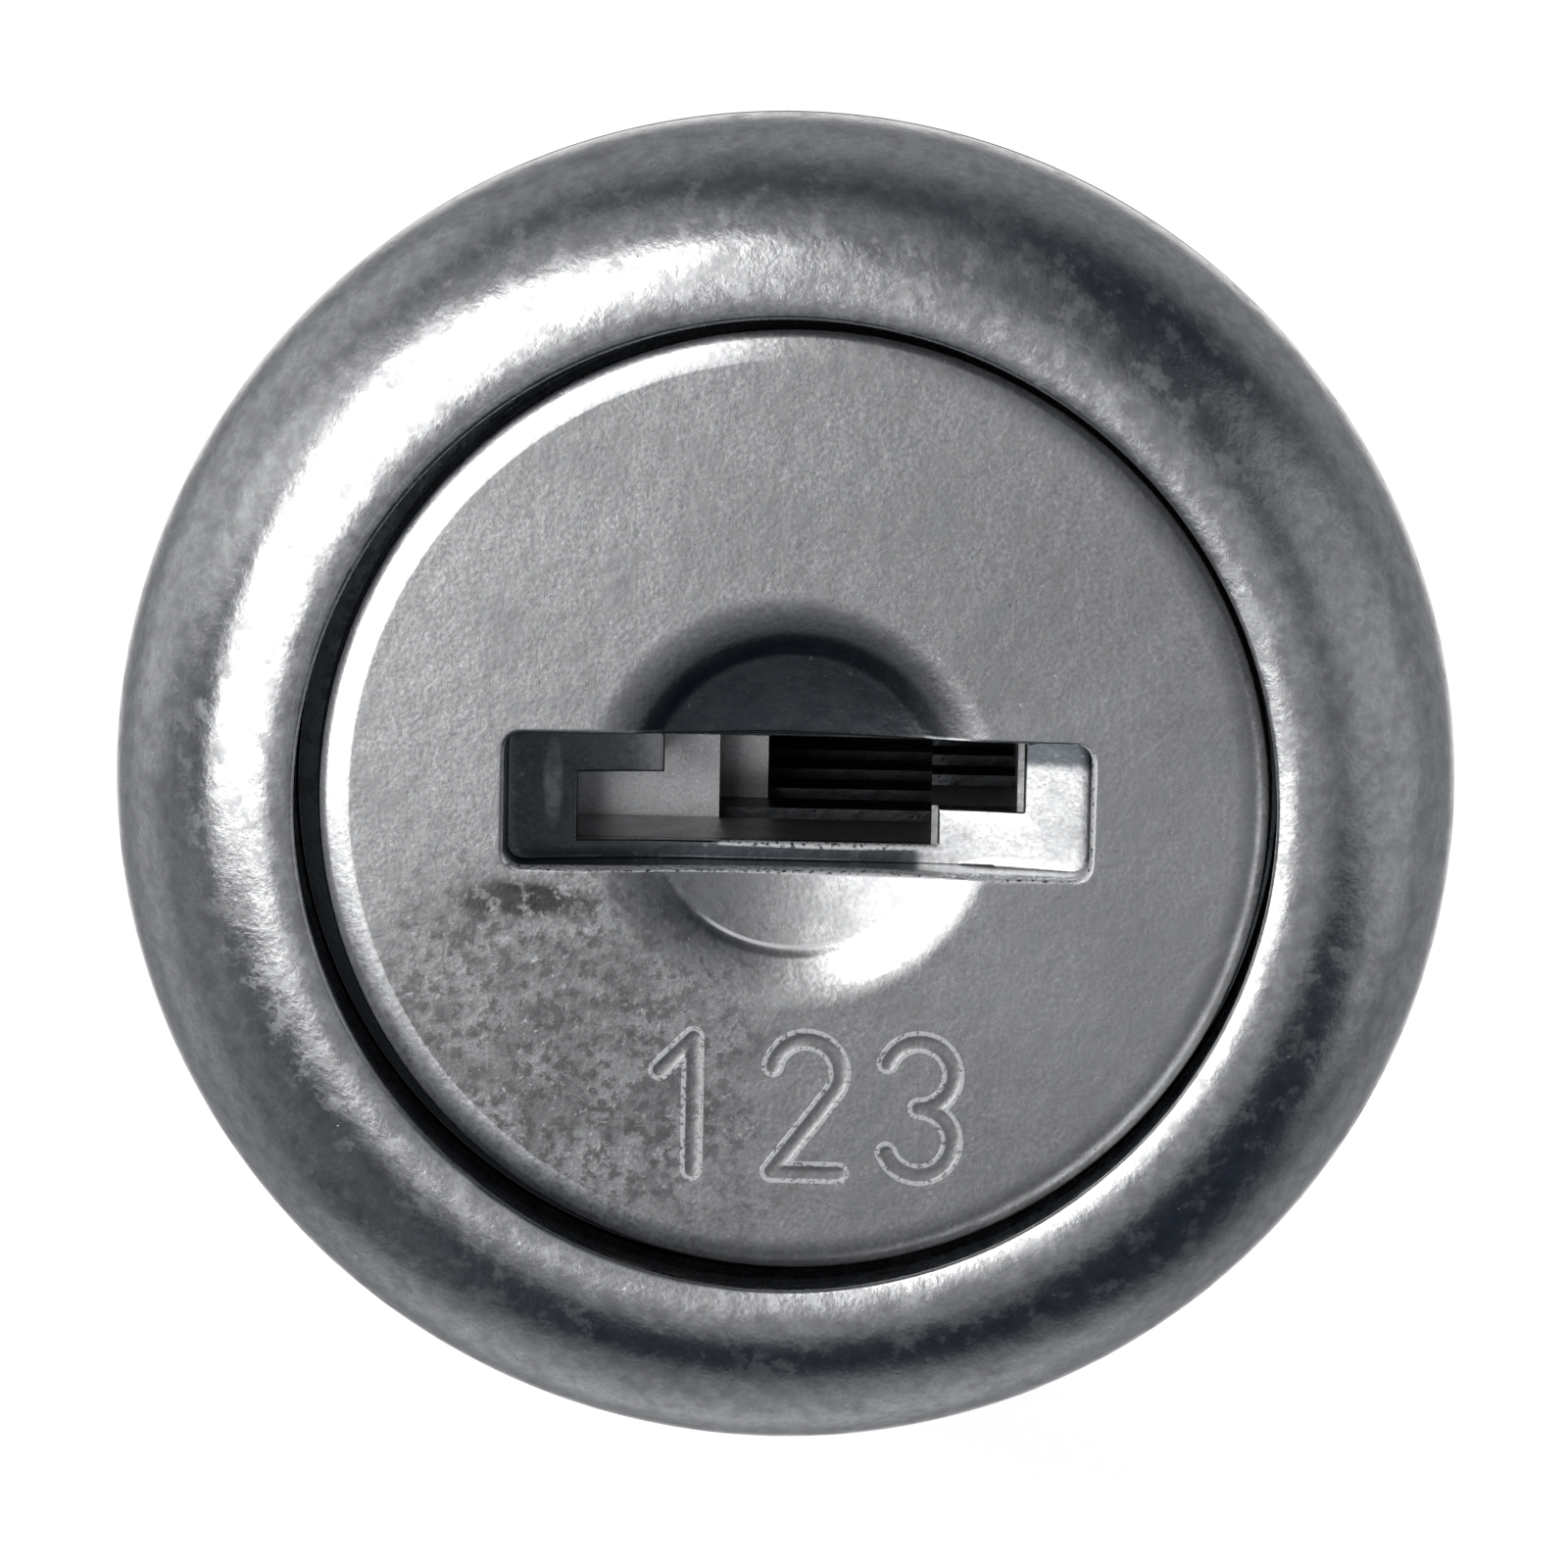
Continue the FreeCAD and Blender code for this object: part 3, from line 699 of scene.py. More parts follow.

# %% [markdown]
# Painted shade and painted highlights follow the shape, so the material has to know where the strokes of
# the figures are. An attribute carries the distance from the nearest stroke on each point. It changes
# evenly across a face, so the material can draw the fine painted highlight beside a stroke sharper than
# the grid is.

# %% Distance from the strokes as an attribute
far_from_stroke = 1.0
in_front = head_points[..., 1] < face_depth + 0.3
stroke_distance = np.minimum(from_figures(head_points[..., [0, 2]]), far_from_stroke)
stroke_distance = np.where(in_front, stroke_distance, far_from_stroke)
add_attribute(head_mesh, "stroke", stroke_distance)
print("points in strokes", int((stroke_distance < figure_stroke / 2).sum()))

# %% [markdown]
# The right half of the mouth's floor, the step at the lower right of the dish and the bevel at the upper
# left get painted highlights, where they would mirror the window. Painted shade lies in the left half of
# the mouth, in its upper right corner and along its lower edge, in the upper half and the lower left of
# the dish, and in the gap round the face. All are soft masks on the points: a product of slopes that each
# rise from 0 to 1 across a border. A third mask marks the edges along the bottom of the slot and of the
# mouth, which get a thin painted highlight.

# %% Painted shade and painted highlights on the face
right, depth, up = (head_points[..., axis] for axis in range(3))
from_axis = np.hypot(right, up)
compass = np.degrees(np.arctan2(up, right))
in_mouth = rising(depth, face_depth + 0.25, face_depth + 0.5) * (from_axis < 6)
in_mouth = in_mouth * (np.abs(up - mouth_shift[1]) < mouth_half[1] + 0.01)
in_dish = rising(from_axis, 2.95, 2.62) * (1 - in_mouth) * (depth < face_depth + 1.2)
upper_right = rising(right, 3.3, 3.8) * rising(up, 0.35, 0.75)
# Painted shade: mouth's left half, its upper right corner and lower strip, upper and lower left of dish, gap
shaded_places = [
    0.75 * in_mouth * rising(right, -1.6, -3.0),
    in_mouth * upper_right,
    0.85 * in_mouth * rising(-up, 0.8, 0.9) * rising(right, 2.2, 1.9),
    0.9 * in_dish * rising(up, 0.6, 0.9) * (1 - 0.4 * rising(right, 1.5, 2.3)),
    0.3 * in_dish * rising(up, -0.6, -0.9) * rising(right, 0.4, -0.9),
    (from_axis > face_radius - 0.4) * rising(depth, face_depth + 0.2, face_depth + 0.4),
]
painted_shade = np.maximum.reduce(shaded_places)

on_step = rising(from_axis, 2.35, 2.55) * rising(from_axis, 3.35, 2.95) * (1 - in_mouth)
on_bevel = (from_axis > flat_radius + 0.005) * (depth < face_depth + 0.2)
# Painted highlights: the dish's step at the lower right, the right of the mouth's floor, the bevel's upper
# left
lit_places = [
    on_step * rising(compass, -92, -60) * rising(compass, -18, -24),
    0.4 * in_mouth * rising(right, 1.6, 2.4) * (1 - upper_right),
    on_bevel * np.interp(compass % 360, [85, 110, 165, 185, 230, 290], [0, 1, 1, 0.6, 0.6, 0]),
]
painted_light = np.maximum.reduce(lit_places)

row_ends = np.cumsum([len(part) for part in (slot_wall, slot_round, floor, wall, edge)])
# Painted highlights along the lower edges of the key slot and of the mouth
edge_glint = np.zeros(head_points.shape[:2])
slot_rows = slice(row_ends[0], row_ends[1])
edge_glint[slot_rows] = rising(-up[slot_rows], 0.8, 0.86) * rising(right[slot_rows], -1.6, -0.9)
mouth_rows = slice(row_ends[3] - 1, row_ends[4] - 1)
below, at_right = rising(-up[mouth_rows], 0.8, 1.1), rising(right[mouth_rows], 4.3, 4.6)
edge_glint[mouth_rows] = np.maximum(below, 0.8 * at_right)
for label, mask in (("painted_shade", painted_shade), ("painted_light", painted_light), ("edge_glint", edge_glint)):
    add_attribute(head_mesh, label, mask)
# Counts of the points under painted shade and under painted highlights
print("dirty points", int((painted_shade > 0.5).sum()), "worn points", int((painted_light > 0.5).sum()))

# %% [markdown]
# ## Core of the plug
# Behind the head the plug is a bar with the key slot, six cross slots for the wafers, pockets for their
# springs and a slot for the retainer, and it ends in a square tail. All of these are straight cuts into a
# simple bar, so Booleans make them as the die does. The bar itself is one closed surface, round first
# and square after the shoulder.

# %% Bar with a square tail
shoulder = extent("stop_washer")[0][1] - seat_gap
tail_half = 3.2
tail_corner = 0.5


def polar_radius(outline, angles):
    """Radius of a closed outline at each angle, for an outline that goes once round the axis."""
    run = np.linalg.norm(np.roll(outline, -1, axis=0) - outline, axis=1)
    place = np.concatenate([[0], np.cumsum(run)])
    fine = np.linspace(0, place[-1], 4000, endpoint=False)
    x, z = [np.interp(fine, place, np.append(outline[:, i], outline[0, i])) for i in (0, 1)]
    return np.interp(angles, np.arctan2(z, x), np.hypot(x, z), period=2 * np.pi)


def box_outline(half_width, half_height):
    """Four corners of a rectangle about the axis."""
    return np.array([
        [half_width, half_height], [-half_width, half_height],
        [-half_width, -half_height], [half_width, -half_height],
    ], float)


def barred(name, radii, depths, angles):
    """Closed bar from rows of radii and depths, with a pole on the axis at each end.

    A row has one radius and one depth, or one of them for each angle.
    """
    radii = np.stack([np.broadcast_to(row, len(angles)) for row in radii])
    depths = np.stack([np.broadcast_to(row, len(angles)) for row in depths])
    points = np.stack([radii * np.cos(angles), depths, radii * np.sin(angles)], axis=-1)
    rows, columns = radii.shape
    faces = grid_faces(rows, columns, close_rows=False)
    faces += fan(np.arange(columns), rows * columns)
    faces += fan(np.arange((rows - 1) * columns, rows * columns)[::-1], rows * columns + 1)
    poles = [[0, depths[0, 0], 0], [0, depths[-1, 0], 0]]
    return shaded_mesh(name, np.concatenate([points.reshape(-1, 3), poles]), faces)


core_angles = around(144, (45, 135, 225, 315))
tail = polar_radius(soften(box_outline(tail_half, tail_half), tail_corner, 6), core_angles)
core_blank = barred(
    "plug_core",
    [plug_radius, plug_radius, plug_radius - 0.08, tail + 0.001, tail, tail - 0.12],
    [head_back - 0.04, shoulder - 0.08, shoulder, shoulder + 0.001, tail_end - 0.12, tail_end],
    core_angles,
)

# %% [markdown]
# The cutters take their places from the frame: each wafer's box gives its slot, and each spring's box
# tells on which side of the slot its pocket lies. A cutter stands well out of the bar, because two faces
# in one plane would leave slivers.

# %% Cuts into the bar
slot_half_height = wafer_half_height + running_gap
past_plug = 7.0
pocket_left, pocket_right = -2.85, 1.85
pocket_half = 0.75
pocket_overlap = 0.1
spring_hole_radius = 0.75
spring_hole_ends = (-1.7, 0.95)
retainer_slot_start = 0.3
screw_hole_radius = 2.05
screw_hole_spare = 0.4
wafer_fronts = [extent(f"wafer_{n}")[0][1] - running_gap for n in range(1, 7)]
wafer_backs = [extent(f"wafer_{n}")[1][1] + running_gap for n in range(1, 7)]
retainer_low, retainer_high = extent("retainer_plate")
screw_low, screw_high = extent("cam_screw")


def box_cutter(name, low, high):
    """Box between two corners."""
    outline = [(low[0], low[2]), (high[0], low[2]), (high[0], high[2]), (low[0], high[2])]
    return prism(name, outline, low[1], high[1])


z_slot = np.array([station[0] for station in stations])
cutters = [prism("key_slot", z_slot, head_back - 1, wafer_backs[-1] + 0.2)]
for number, (front, back_end) in enumerate(zip(wafer_fronts, wafer_backs), start=1):
    low, high = (-past_plug, front, -slot_half_height), (past_plug, back_end, slot_half_height)
    cutters.append(box_cutter(f"wafer_slot_{number}", low, high))
    coil_low, coil_high = extent(f"wafer_spring_{number}")
    side = np.sign(coil_low[2] + coil_high[2])
    bottom, top = sorted((side * (slot_half_height - pocket_overlap), side * past_plug))
    middle = (front + back_end) / 2
    low, high = (pocket_left, middle - pocket_half, bottom), (pocket_right, middle + pocket_half, top)
    cutters.append(box_cutter(f"pocket_{number}", low, high))
low, high = retainer_low - running_gap, retainer_high + running_gap
low[0], high[0] = retainer_slot_start, past_plug
cutters.append(box_cutter("retainer_slot", low, high))
spring_hole = circle(spring_hole_radius, 32, (lock_middle, 0))
cutters.append(prism("spring_hole", spring_hole, *spring_hole_ends, "x"))
screw_hole = circle(screw_hole_radius, 64)
cutters.append(prism("screw_hole", screw_hole, screw_low[1] - screw_hole_spare, tail_end + 1))
plug_core = add_piece("plug_core", carve(core_blank, cutters), "plug", ["plug"])

# %% [markdown]
# ## Stamped and turned rings
# The nut, both washers, the stop washer and the cam are all plates with a hole about the axis. One
# function of the angle gives the outside and one the hole, and the section between them is a rectangle
# with softened corners. So one helper makes them all: a hexagon, a disc with a long notch, a cam or a
# toothed ring differ only in those functions.

# %% Nut
thread_crest = 0.15
thread_flank = 0.62


def thread_fall(angle, depth, pitch):
    """How far down its flank a thread is, from 0 on the crest to 1 at the root.

    The place within a pitch is the depth and the share of a turn. Its distance from the crest's middle
    is flat at the crest, rises evenly and is flat again at the root.
    """
    place = (depth / pitch + angle / (2 * np.pi)) % 1.0
    return np.clip((np.abs(2 * place - 1) - thread_crest) / thread_flank, 0, 1)


nut_low, nut_high = extent("mounting_nut")
nut_flat = nut_high[2]
nut_land = 0.3
nut_chamfer = 0.25
nut_lead_in = 0.4
nut_corner_slope = math.tan(math.radians(30))
nut_angles = around(240, range(0, 360, 60))
hexagon = nut_flat / np.cos((nut_angles % (np.pi / 3)) - np.pi / 6)
chamfer_start = nut_flat - nut_chamfer
chamfer = (hexagon - chamfer_start) * nut_corner_slope
nut_rows = np.linspace(nut_high[1] - nut_lead_in, nut_low[1] + nut_lead_in, 26)
nut_fall = thread_fall(nut_angles[:, None], nut_rows[None], thread_pitch)
nut_thread = barrel_radius + running_gap - thread_depth * nut_fall
nut_outside = soften(sections(
    (barrel_radius + nut_land, nut_low[1]), (chamfer_start, nut_low[1]), (hexagon, nut_low[1] + chamfer),
    (hexagon, nut_high[1] - chamfer), (chamfer_start, nut_high[1]), (barrel_radius + nut_land, nut_high[1]),
), 0.08, 3)
nut_inside = np.stack([nut_thread, np.broadcast_to(nut_rows, nut_thread.shape)], axis=-1)
nut_outline = np.concatenate([nut_outside, nut_inside], axis=1)
nut_mesh = ring_mesh("mounting_nut", nut_outline, nut_angles)
mounting_nut = add_piece("mounting_nut", nut_mesh, "housing", ["mounting_nut"])

# %% [markdown]
# The toothed washer is punched from spring steel. Its inner teeth are twisted, so that one edge of each
# bites the nut and the other the panel: the depth of a tooth's points grows with their distance from the
# tooth's middle.

# %% Toothed washer
tooth_low, tooth_high = extent("toothed_washer")
tooth_count = 10
tooth_width = 1.5
tooth_twist = math.tan(math.radians(12))
washer_thickness = 0.6
washer_inner = 9.16
tooth_gap = 0.06
tooth_tip = barrel_radius + tooth_gap
tooth_half = math.degrees(math.asin(tooth_width / 2 / tooth_tip))
tooth_marks = [360 / tooth_count * n + side * tooth_half for n in range(tooth_count) for side in (-1, 1)]
washer_angles = around(360, tooth_marks)
spread = np.radians(360 / tooth_count)
from_tooth = (washer_angles + spread / 2) % spread - spread / 2
on_tooth = np.abs(np.degrees(from_tooth)) < tooth_half
tip_radius = np.where(on_tooth, tooth_tip, washer_inner - 0.01)
twist = np.where(on_tooth, from_tooth * tooth_tip * tooth_twist, 0)
washer_middle = (tooth_low[1] + tooth_high[1]) / 2
half_thick = washer_thickness / 2
washer_outline = soften(sections(
    (tip_radius, washer_middle - half_thick + twist), (washer_inner, washer_middle - half_thick),
    (tooth_high[0], washer_middle - half_thick), (tooth_high[0], washer_middle + half_thick),
    (washer_inner, washer_middle + half_thick), (tip_radius, washer_middle + half_thick + twist),
), 0.07, 3)
washer_mesh = ring_mesh("toothed_washer", washer_outline, washer_angles)
toothed_washer = add_piece("toothed_washer", washer_mesh, "housing", ["toothed_washer"])

# %% [markdown]
# The stop washer is a disc with a long notch, whose ends stop at the housing's lug after a quarter turn.
# The cam is a flat bar that gets narrower towards its tip. Both sit on the square tail, so their hole is a
# square with soft corners, and one helper makes both from the hole and the outside at every angle.

# %% Stop washer and cam
stop_low, stop_high = extent("stop_washer")
cam_low, cam_high = extent("cam")
notch_start, notch_sweep = 59.5, 151.0
stop_side_gap = 0.1
stop_angles = around(300, (45, 135, 225, 315, notch_start, notch_start + notch_sweep))
in_notch = ((np.degrees(stop_angles) - notch_start) % 360) < notch_sweep
stop_outside = np.where(in_notch, lug_inner - stop_side_gap, flat_height)
hole_half = tail_half + running_gap
square_hole = soften(box_outline(hole_half, hole_half), tail_corner, 6)


def plate(name, outside, hole, low, high, angles, edge, body):
    """Plate with a hole about the axis and softened edges, in the place of the node of the same name."""
    outline = soften(sections((hole, low), (outside, low), (outside, high), (hole, high)), edge, 4)
    return add_piece(name, ring_mesh(name, outline, angles), body, [name])


stop_washer = plate(
    "stop_washer", stop_outside, polar_radius(square_hole, stop_angles), stop_low[1], stop_high[1],
    stop_angles, 0.1, "plug",
)

head_half = cam_high[0]
tip_half = 5.0
arm = soften(np.array([
    [head_half, 0], [-head_half, 0], [-tip_half, cam_low[2]], [tip_half, cam_low[2]],
]), 2.6, 10)
cam_angles = around(420, (45, 135, 225, 315))
arm_radius = polar_radius(arm + np.array([0, 1e-6]), cam_angles)
on_arm = np.sin(cam_angles) <= -0.05
cam_outside = np.where(on_arm, np.maximum(arm_radius, head_half), head_half)
cam = plate(
    "cam", cam_outside, polar_radius(square_hole, cam_angles), cam_low[1], cam_high[1],
    cam_angles, 0.16, "plug",
)

# %% [markdown]
# The spring washer is a bar bent round the screw, with a slanting cut. A section carried from one side of
# the cut to the other makes it, and the slant moves the ends' angle with the depth.

# %% Split washer
split_low, split_high = extent("split_washer")
split_inner = 2.1
split_slant = math.tan(math.radians(25))
split_half_gap = 0.3
section = soften(np.array([
    [split_inner, split_low[1]], [split_high[0], split_low[1]],
    [split_high[0], split_high[1]], [split_inner, split_high[1]],
]), 0.1, 4)
slant = (section[:, 1] - section[:, 1].mean()) * split_slant
first_angle = np.pi / 2 + (split_half_gap - slant) / section[:, 0]
last_angle = np.pi * 5 / 2 - (split_half_gap + slant) / section[:, 0]
sweep = np.linspace(0, 1, 120)[:, None]
split_turn = first_angle + sweep * (last_angle - first_angle)
split_points = np.stack([
    section[:, 0] * np.cos(split_turn), np.broadcast_to(section[:, 1], split_turn.shape),
    section[:, 0] * np.sin(split_turn),
], axis=-1)
split_faces = grid_faces(*split_turn.shape, close_rows=False) + end_faces(*split_turn.shape)
split_mesh = shaded_mesh("split_washer", split_points, split_faces)
split_washer = add_piece("split_washer", split_mesh, "plug", ["split_washer"])

# %% [markdown]
# ## Cam screw
# A pan-head screw holds the cam. Its head is a turned shape, but the cross recess isn't: it is a depth
# that depends on the place, deepest along two crossing bars and tapering towards their ends. The
# thread on the shank is the same function as in the nut, with a finer pitch.

# %% Screw with a cross recess
head_radius = screw_high[0]
head_seat = split_high[1] + seat_gap
head_top = screw_high[1]
head_bow = 0.55
head_round = 0.35
head_drop = 0.5
shank_radius = 2.0
shank_pitch = 0.7
shank_thread = 0.32
tip_radii = [1.5, 1.2]
recess_depth = 1.3
recess_reach = 2.1
recess_half_width = 0.42
recess_side = 0.12
recess_end = 0.65
recess_taper = 0.25
recess_rise = 0.35


def cross_recess(x, z):
    """Depth of the cross: full in the middle, shallower along each bar, with steep sloping sides."""
    along = np.maximum(np.abs(x), np.abs(z))
    across = np.minimum(np.abs(x), np.abs(z))
    width = recess_half_width * (1 - recess_taper * along / recess_reach)
    side = np.clip((width - across) / recess_side, 0, 1)
    end = np.clip((recess_reach - along) / recess_end, 0, 1)
    return recess_depth * side * end * (1 - recess_rise * along / recess_reach)


screw_angles = around(288)
top_radius = np.concatenate([np.linspace(0.04, 2.4, 60), np.linspace(2.4, head_radius - head_round, 8)[1:]])
bow = head_bow * (top_radius / head_radius) ** 2
top_x = top_radius[:, None] * np.cos(screw_angles)
top_z = top_radius[:, None] * np.sin(screw_angles)
top_depth = (head_top - bow)[:, None] - cross_recess(top_x, top_z)
shank_depth = np.linspace(head_seat - 0.3, screw_low[1] + 0.5, 100)
shank = shank_radius - shank_thread * thread_fall(screw_angles[None], shank_depth[:, None], shank_pitch)
side_turn = np.linspace(0, np.pi / 2, 9)[1:]
side_radius = head_radius - head_round + head_round * np.sin(side_turn)
side_depth = head_top - bow[-1] - head_drop * (1 - np.cos(side_turn))
under_head = np.array([
    [head_radius, head_seat + 0.12], [head_radius - 0.1, head_seat], [shank_radius + 0.15, head_seat],
    [shank_radius, head_seat - 0.1],
])
screw_radii = [*top_radius, *side_radius, *under_head[:, 0], *shank, *tip_radii]
screw_depths = [*top_depth, *side_depth, *under_head[:, 1], *shank_depth, screw_low[1] + 0.3, screw_low[1]]
screw_mesh = barred("cam_screw", screw_radii, screw_depths, screw_angles)
cam_screw = add_piece("cam_screw", screw_mesh, "plug", ["cam_screw"])

# %% [markdown]
# ## Coil springs
# Each wafer has a spring of round wire with closed ends. The wire follows a helix whose pitch is small
# for the first and last turn, and a circle carried along that path makes its surface. One end of a spring
# stays in its pocket and the other follows the wafer. So a coil rides on neither of the two: it is left
# free, in its place in the world.

# %% Springs
wire = 0.22
steps_per_turn = 28
wire_sides = 12


def spring(name, turns):
    """Round wire on a helix along x. How far it moves on at each angle is small near both ends.

    It is left free of any body.
    """
    low, high = extent(name)
    depth, height = (low[1] + high[1]) / 2, (low[2] + high[2]) / 2
    radius = (high[1] - low[1] - wire) / 2
    count = steps_per_turn * turns
    share = np.linspace(0, 1, count)
    rate = np.clip(np.minimum(share, 1 - share) * turns / 0.9, 0.25, 1)
    moved = np.concatenate([[0], np.cumsum((rate[1:] + rate[:-1]) / 2)])
    along = low[0] + wire / 2 + (high[0] - low[0] - wire) * moved / moved[-1]
    turn = 2 * np.pi * turns * share
    out = np.stack([np.zeros(count), np.cos(turn), np.sin(turn)], axis=-1)
    path = np.stack([along, np.full(count, depth), np.full(count, height)], axis=-1) + radius * out
    run = np.gradient(path, axis=0)
    run /= np.linalg.norm(run, axis=1)[:, None]
    side = np.cross(run, out)
    round_wire = np.linspace(0, 2 * np.pi, wire_sides, endpoint=False)
    points = path[:, None] + wire / 2 * (
        np.cos(round_wire)[None, :, None] * out[:, None] + np.sin(round_wire)[None, :, None] * side[:, None]
    )
    faces = grid_faces(count, wire_sides, close_rows=False) + end_faces(count, wire_sides)
    coil = add_piece(f"{name}_coil", shaded_mesh(name, points, faces), None, [name])
    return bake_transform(coil)


coils = [spring(f"wafer_spring_{n}", 5) for n in range(1, 7)]
coils.append(spring("retainer_spring", 4))

# %% [markdown]
# ## Finishes
# All the lock's metal is plated, and what tells its parts apart is the surface under the plating: fine
# grain on the polished bezel, pits and blotches on the cast plug, rolling marks on the sheet steel. These
# effects are node groups with named inputs, and each material sets their scale and strength itself. A
# small helper adds a node with its values and links in one call, which keeps the groups short.

# %% Node helpers


def node(tree, kind, values=None, **settings):
    """Adds a node. Values are set on its inputs by name or number, and sockets are linked to them."""
    made = tree.nodes.new(kind)
    for key, value in settings.items():
        setattr(made, key, value)
    for key, value in (values or {}).items():
        if isinstance(value, bpy.types.NodeSocket):
            tree.links.new(value, made.inputs[key])
        else:
            made.inputs[key].default_value = value
    return made


def maths(tree, operation, first, second=0.0, third=0.0):
    """Result of one sum, product or other operation on numbers or sockets."""
    return node(tree, "ShaderNodeMath", {0: first, 1: second, 2: third}, operation=operation).outputs[0]


def stretched(tree, value, low, high, smooth=True):
    """Maps a value from between low and high to 0 to 1."""
    kind = "SMOOTHSTEP" if smooth else "LINEAR"
    return node(tree, "ShaderNodeMapRange", {
        "Value": value, "From Min": low, "From Max": high,
    }, interpolation_type=kind).outputs["Result"]


def mix_colour(tree, share, first, second):
    """Colour between two colours by a share from 0 to 1."""
    return node(tree, "ShaderNodeMix", {0: share, 6: first, 7: second}, data_type="RGBA").outputs[2]


def new_group(name, inputs, outputs):
    """Empty shader node group with number sockets, the nodes for its ends and a place in millimetres."""
    group = bpy.data.node_groups.new(name, "ShaderNodeTree")
    for label, value in inputs.items():
        socket = group.interface.new_socket(name=label, in_out="INPUT", socket_type="NodeSocketFloat")
        socket.default_value = value
    for label in outputs:
        group.interface.new_socket(name=label, in_out="OUTPUT", socket_type="NodeSocketFloat")
    start = group.nodes.new("NodeGroupInput")
    end = group.nodes.new("NodeGroupOutput")
    place = node(group, "ShaderNodeTexCoord").outputs["Object"]
    scaled = node(group, "ShaderNodeVectorMath", {0: place, "Scale": 1 / MM}, operation="SCALE").outputs[0]
    return group, start.outputs, end.inputs, scaled


def noise(tree, place, size, detail=2.0, roughness=0.5):
    """Noise whose features are about as large as the size in millimetres."""
    scale = maths(tree, "DIVIDE", 1.0, size)
    return node(tree, "ShaderNodeTexNoise", {
        "Vector": place, "Scale": scale, "Detail": detail, "Roughness": roughness,
    }).outputs["Fac"]


print("node helpers ready")

# %% [markdown]
# Satin plating is never even. Up close it has a fine grain, and at ten times that size a slight waviness
# that frays the border of every reflection. Both are noise. Blotches are a coarser noise cut off between
# two levels, and pits are the cores of random cells, whose size a further noise changes.

# %% Groups for grain, blotches and pits


def make_grain_group():
    """Fine grain with slight waviness under it. Shade is the grain alone, for tone."""
    group, start, end, place = new_group("satin_grain", {"Size": 0.05, "Wave": 0.5}, ["Height", "Shade"])
    fine = noise(group, place, start["Size"], 3.0, 0.6)
    wave = noise(group, place, maths(group, "MULTIPLY", start["Size"], 5.0), 2.0)
    waved = maths(group, "MULTIPLY", maths(group, "MULTIPLY", wave, start["Wave"]), 5.0)
    group.links.new(maths(group, "ADD", fine, waved), end["Height"])
    group.links.new(fine, end["Shade"])
    return group


def make_blotch_group():
    """Uneven patches with frayed borders, as stains and worn plating make."""
    inputs = {"Size": 1.0, "Low": 0.45, "High": 0.65}
    group, start, end, place = new_group("cast_blotches", inputs, ["Mask"])
    patches = noise(group, place, start["Size"], 7.0, 0.68)
    group.links.new(stretched(group, patches, start["Low"], start["High"]), end["Mask"])
    return group


def make_pit_group():
    """Small scattered pits: where a point is nearer to a cell's middle than a limit that a noise sets."""
    group, start, end, place = new_group("cast_pits", {"Size": 0.2, "Amount": 0.25}, ["Mask"])
    bent = noise(group, place, 0.08, 2.0)
    cells = node(group, "ShaderNodeTexVoronoi", {
        "Vector": place, "Scale": maths(group, "DIVIDE", 1.0, start["Size"]),
    }).outputs["Distance"]
    limit = maths(group, "MULTIPLY", noise(group, place, 0.7, 3.0), start["Amount"])
    ragged = maths(group, "MULTIPLY_ADD", bent, 0.25, cells)
    inside = maths(group, "SUBTRACT", maths(group, "ADD", limit, 0.125), ragged)
    group.links.new(stretched(group, inside, 0.0, 0.07), end["Mask"])
    return group


def make_scratch_group():
    """Thin straight scratches: a noise stretched along one direction and kept only at its peaks."""
    inputs = {"Size": 0.3, "Angle": 0.6, "Amount": 0.08}
    group, start, end, place = new_group("fine_scratches", inputs, ["Mask"])
    turned = node(group, "ShaderNodeVectorRotate", {
        "Vector": place, "Axis": (0.0, 1.0, 0.0), "Angle": start["Angle"],
    }).outputs[0]
    drawn = node(group, "ShaderNodeVectorMath", {0: turned, 1: (0.04, 1.0, 1.0)}, operation="MULTIPLY")
    lines = noise(group, drawn.outputs[0], start["Size"], 1.0)
    peak = maths(group, "SUBTRACT", lines, maths(group, "SUBTRACT", 0.8, start["Amount"]))
    group.links.new(stretched(group, peak, 0.0, 0.04), end["Mask"])
    return group


grain_group = make_grain_group()
blotch_group = make_blotch_group()
pit_group = make_pit_group()
scratch_group = make_scratch_group()
print("groups", [group.name for group in (grain_group, blotch_group, pit_group, scratch_group)])

# %% [markdown]
# One class builds every metal. It mixes a light and a dark tone by the blotches and the grain, lays pits
# and scratches over them, and raises the grain in the normal. What differs from part to part is passed
# in. The shader and its even values, such as Metallic, stay in the material itself. Painted shade in a
# corner stands for metal that mirrors nothing but the cool light of the window, so its tone is clearly
# bluer than the plating's.

# %% Plated metal
plating_blue = 0.014
sheet_blue = 0.035
# Blue cast of the painted shade
shade_blue = 0.35


def grey(level, blue=plating_blue):
    """Neutral tone with a slight cool cast, as plated metal has."""
    return (level, level * (1 + blue / 2), level * (1 + blue), 1.0)


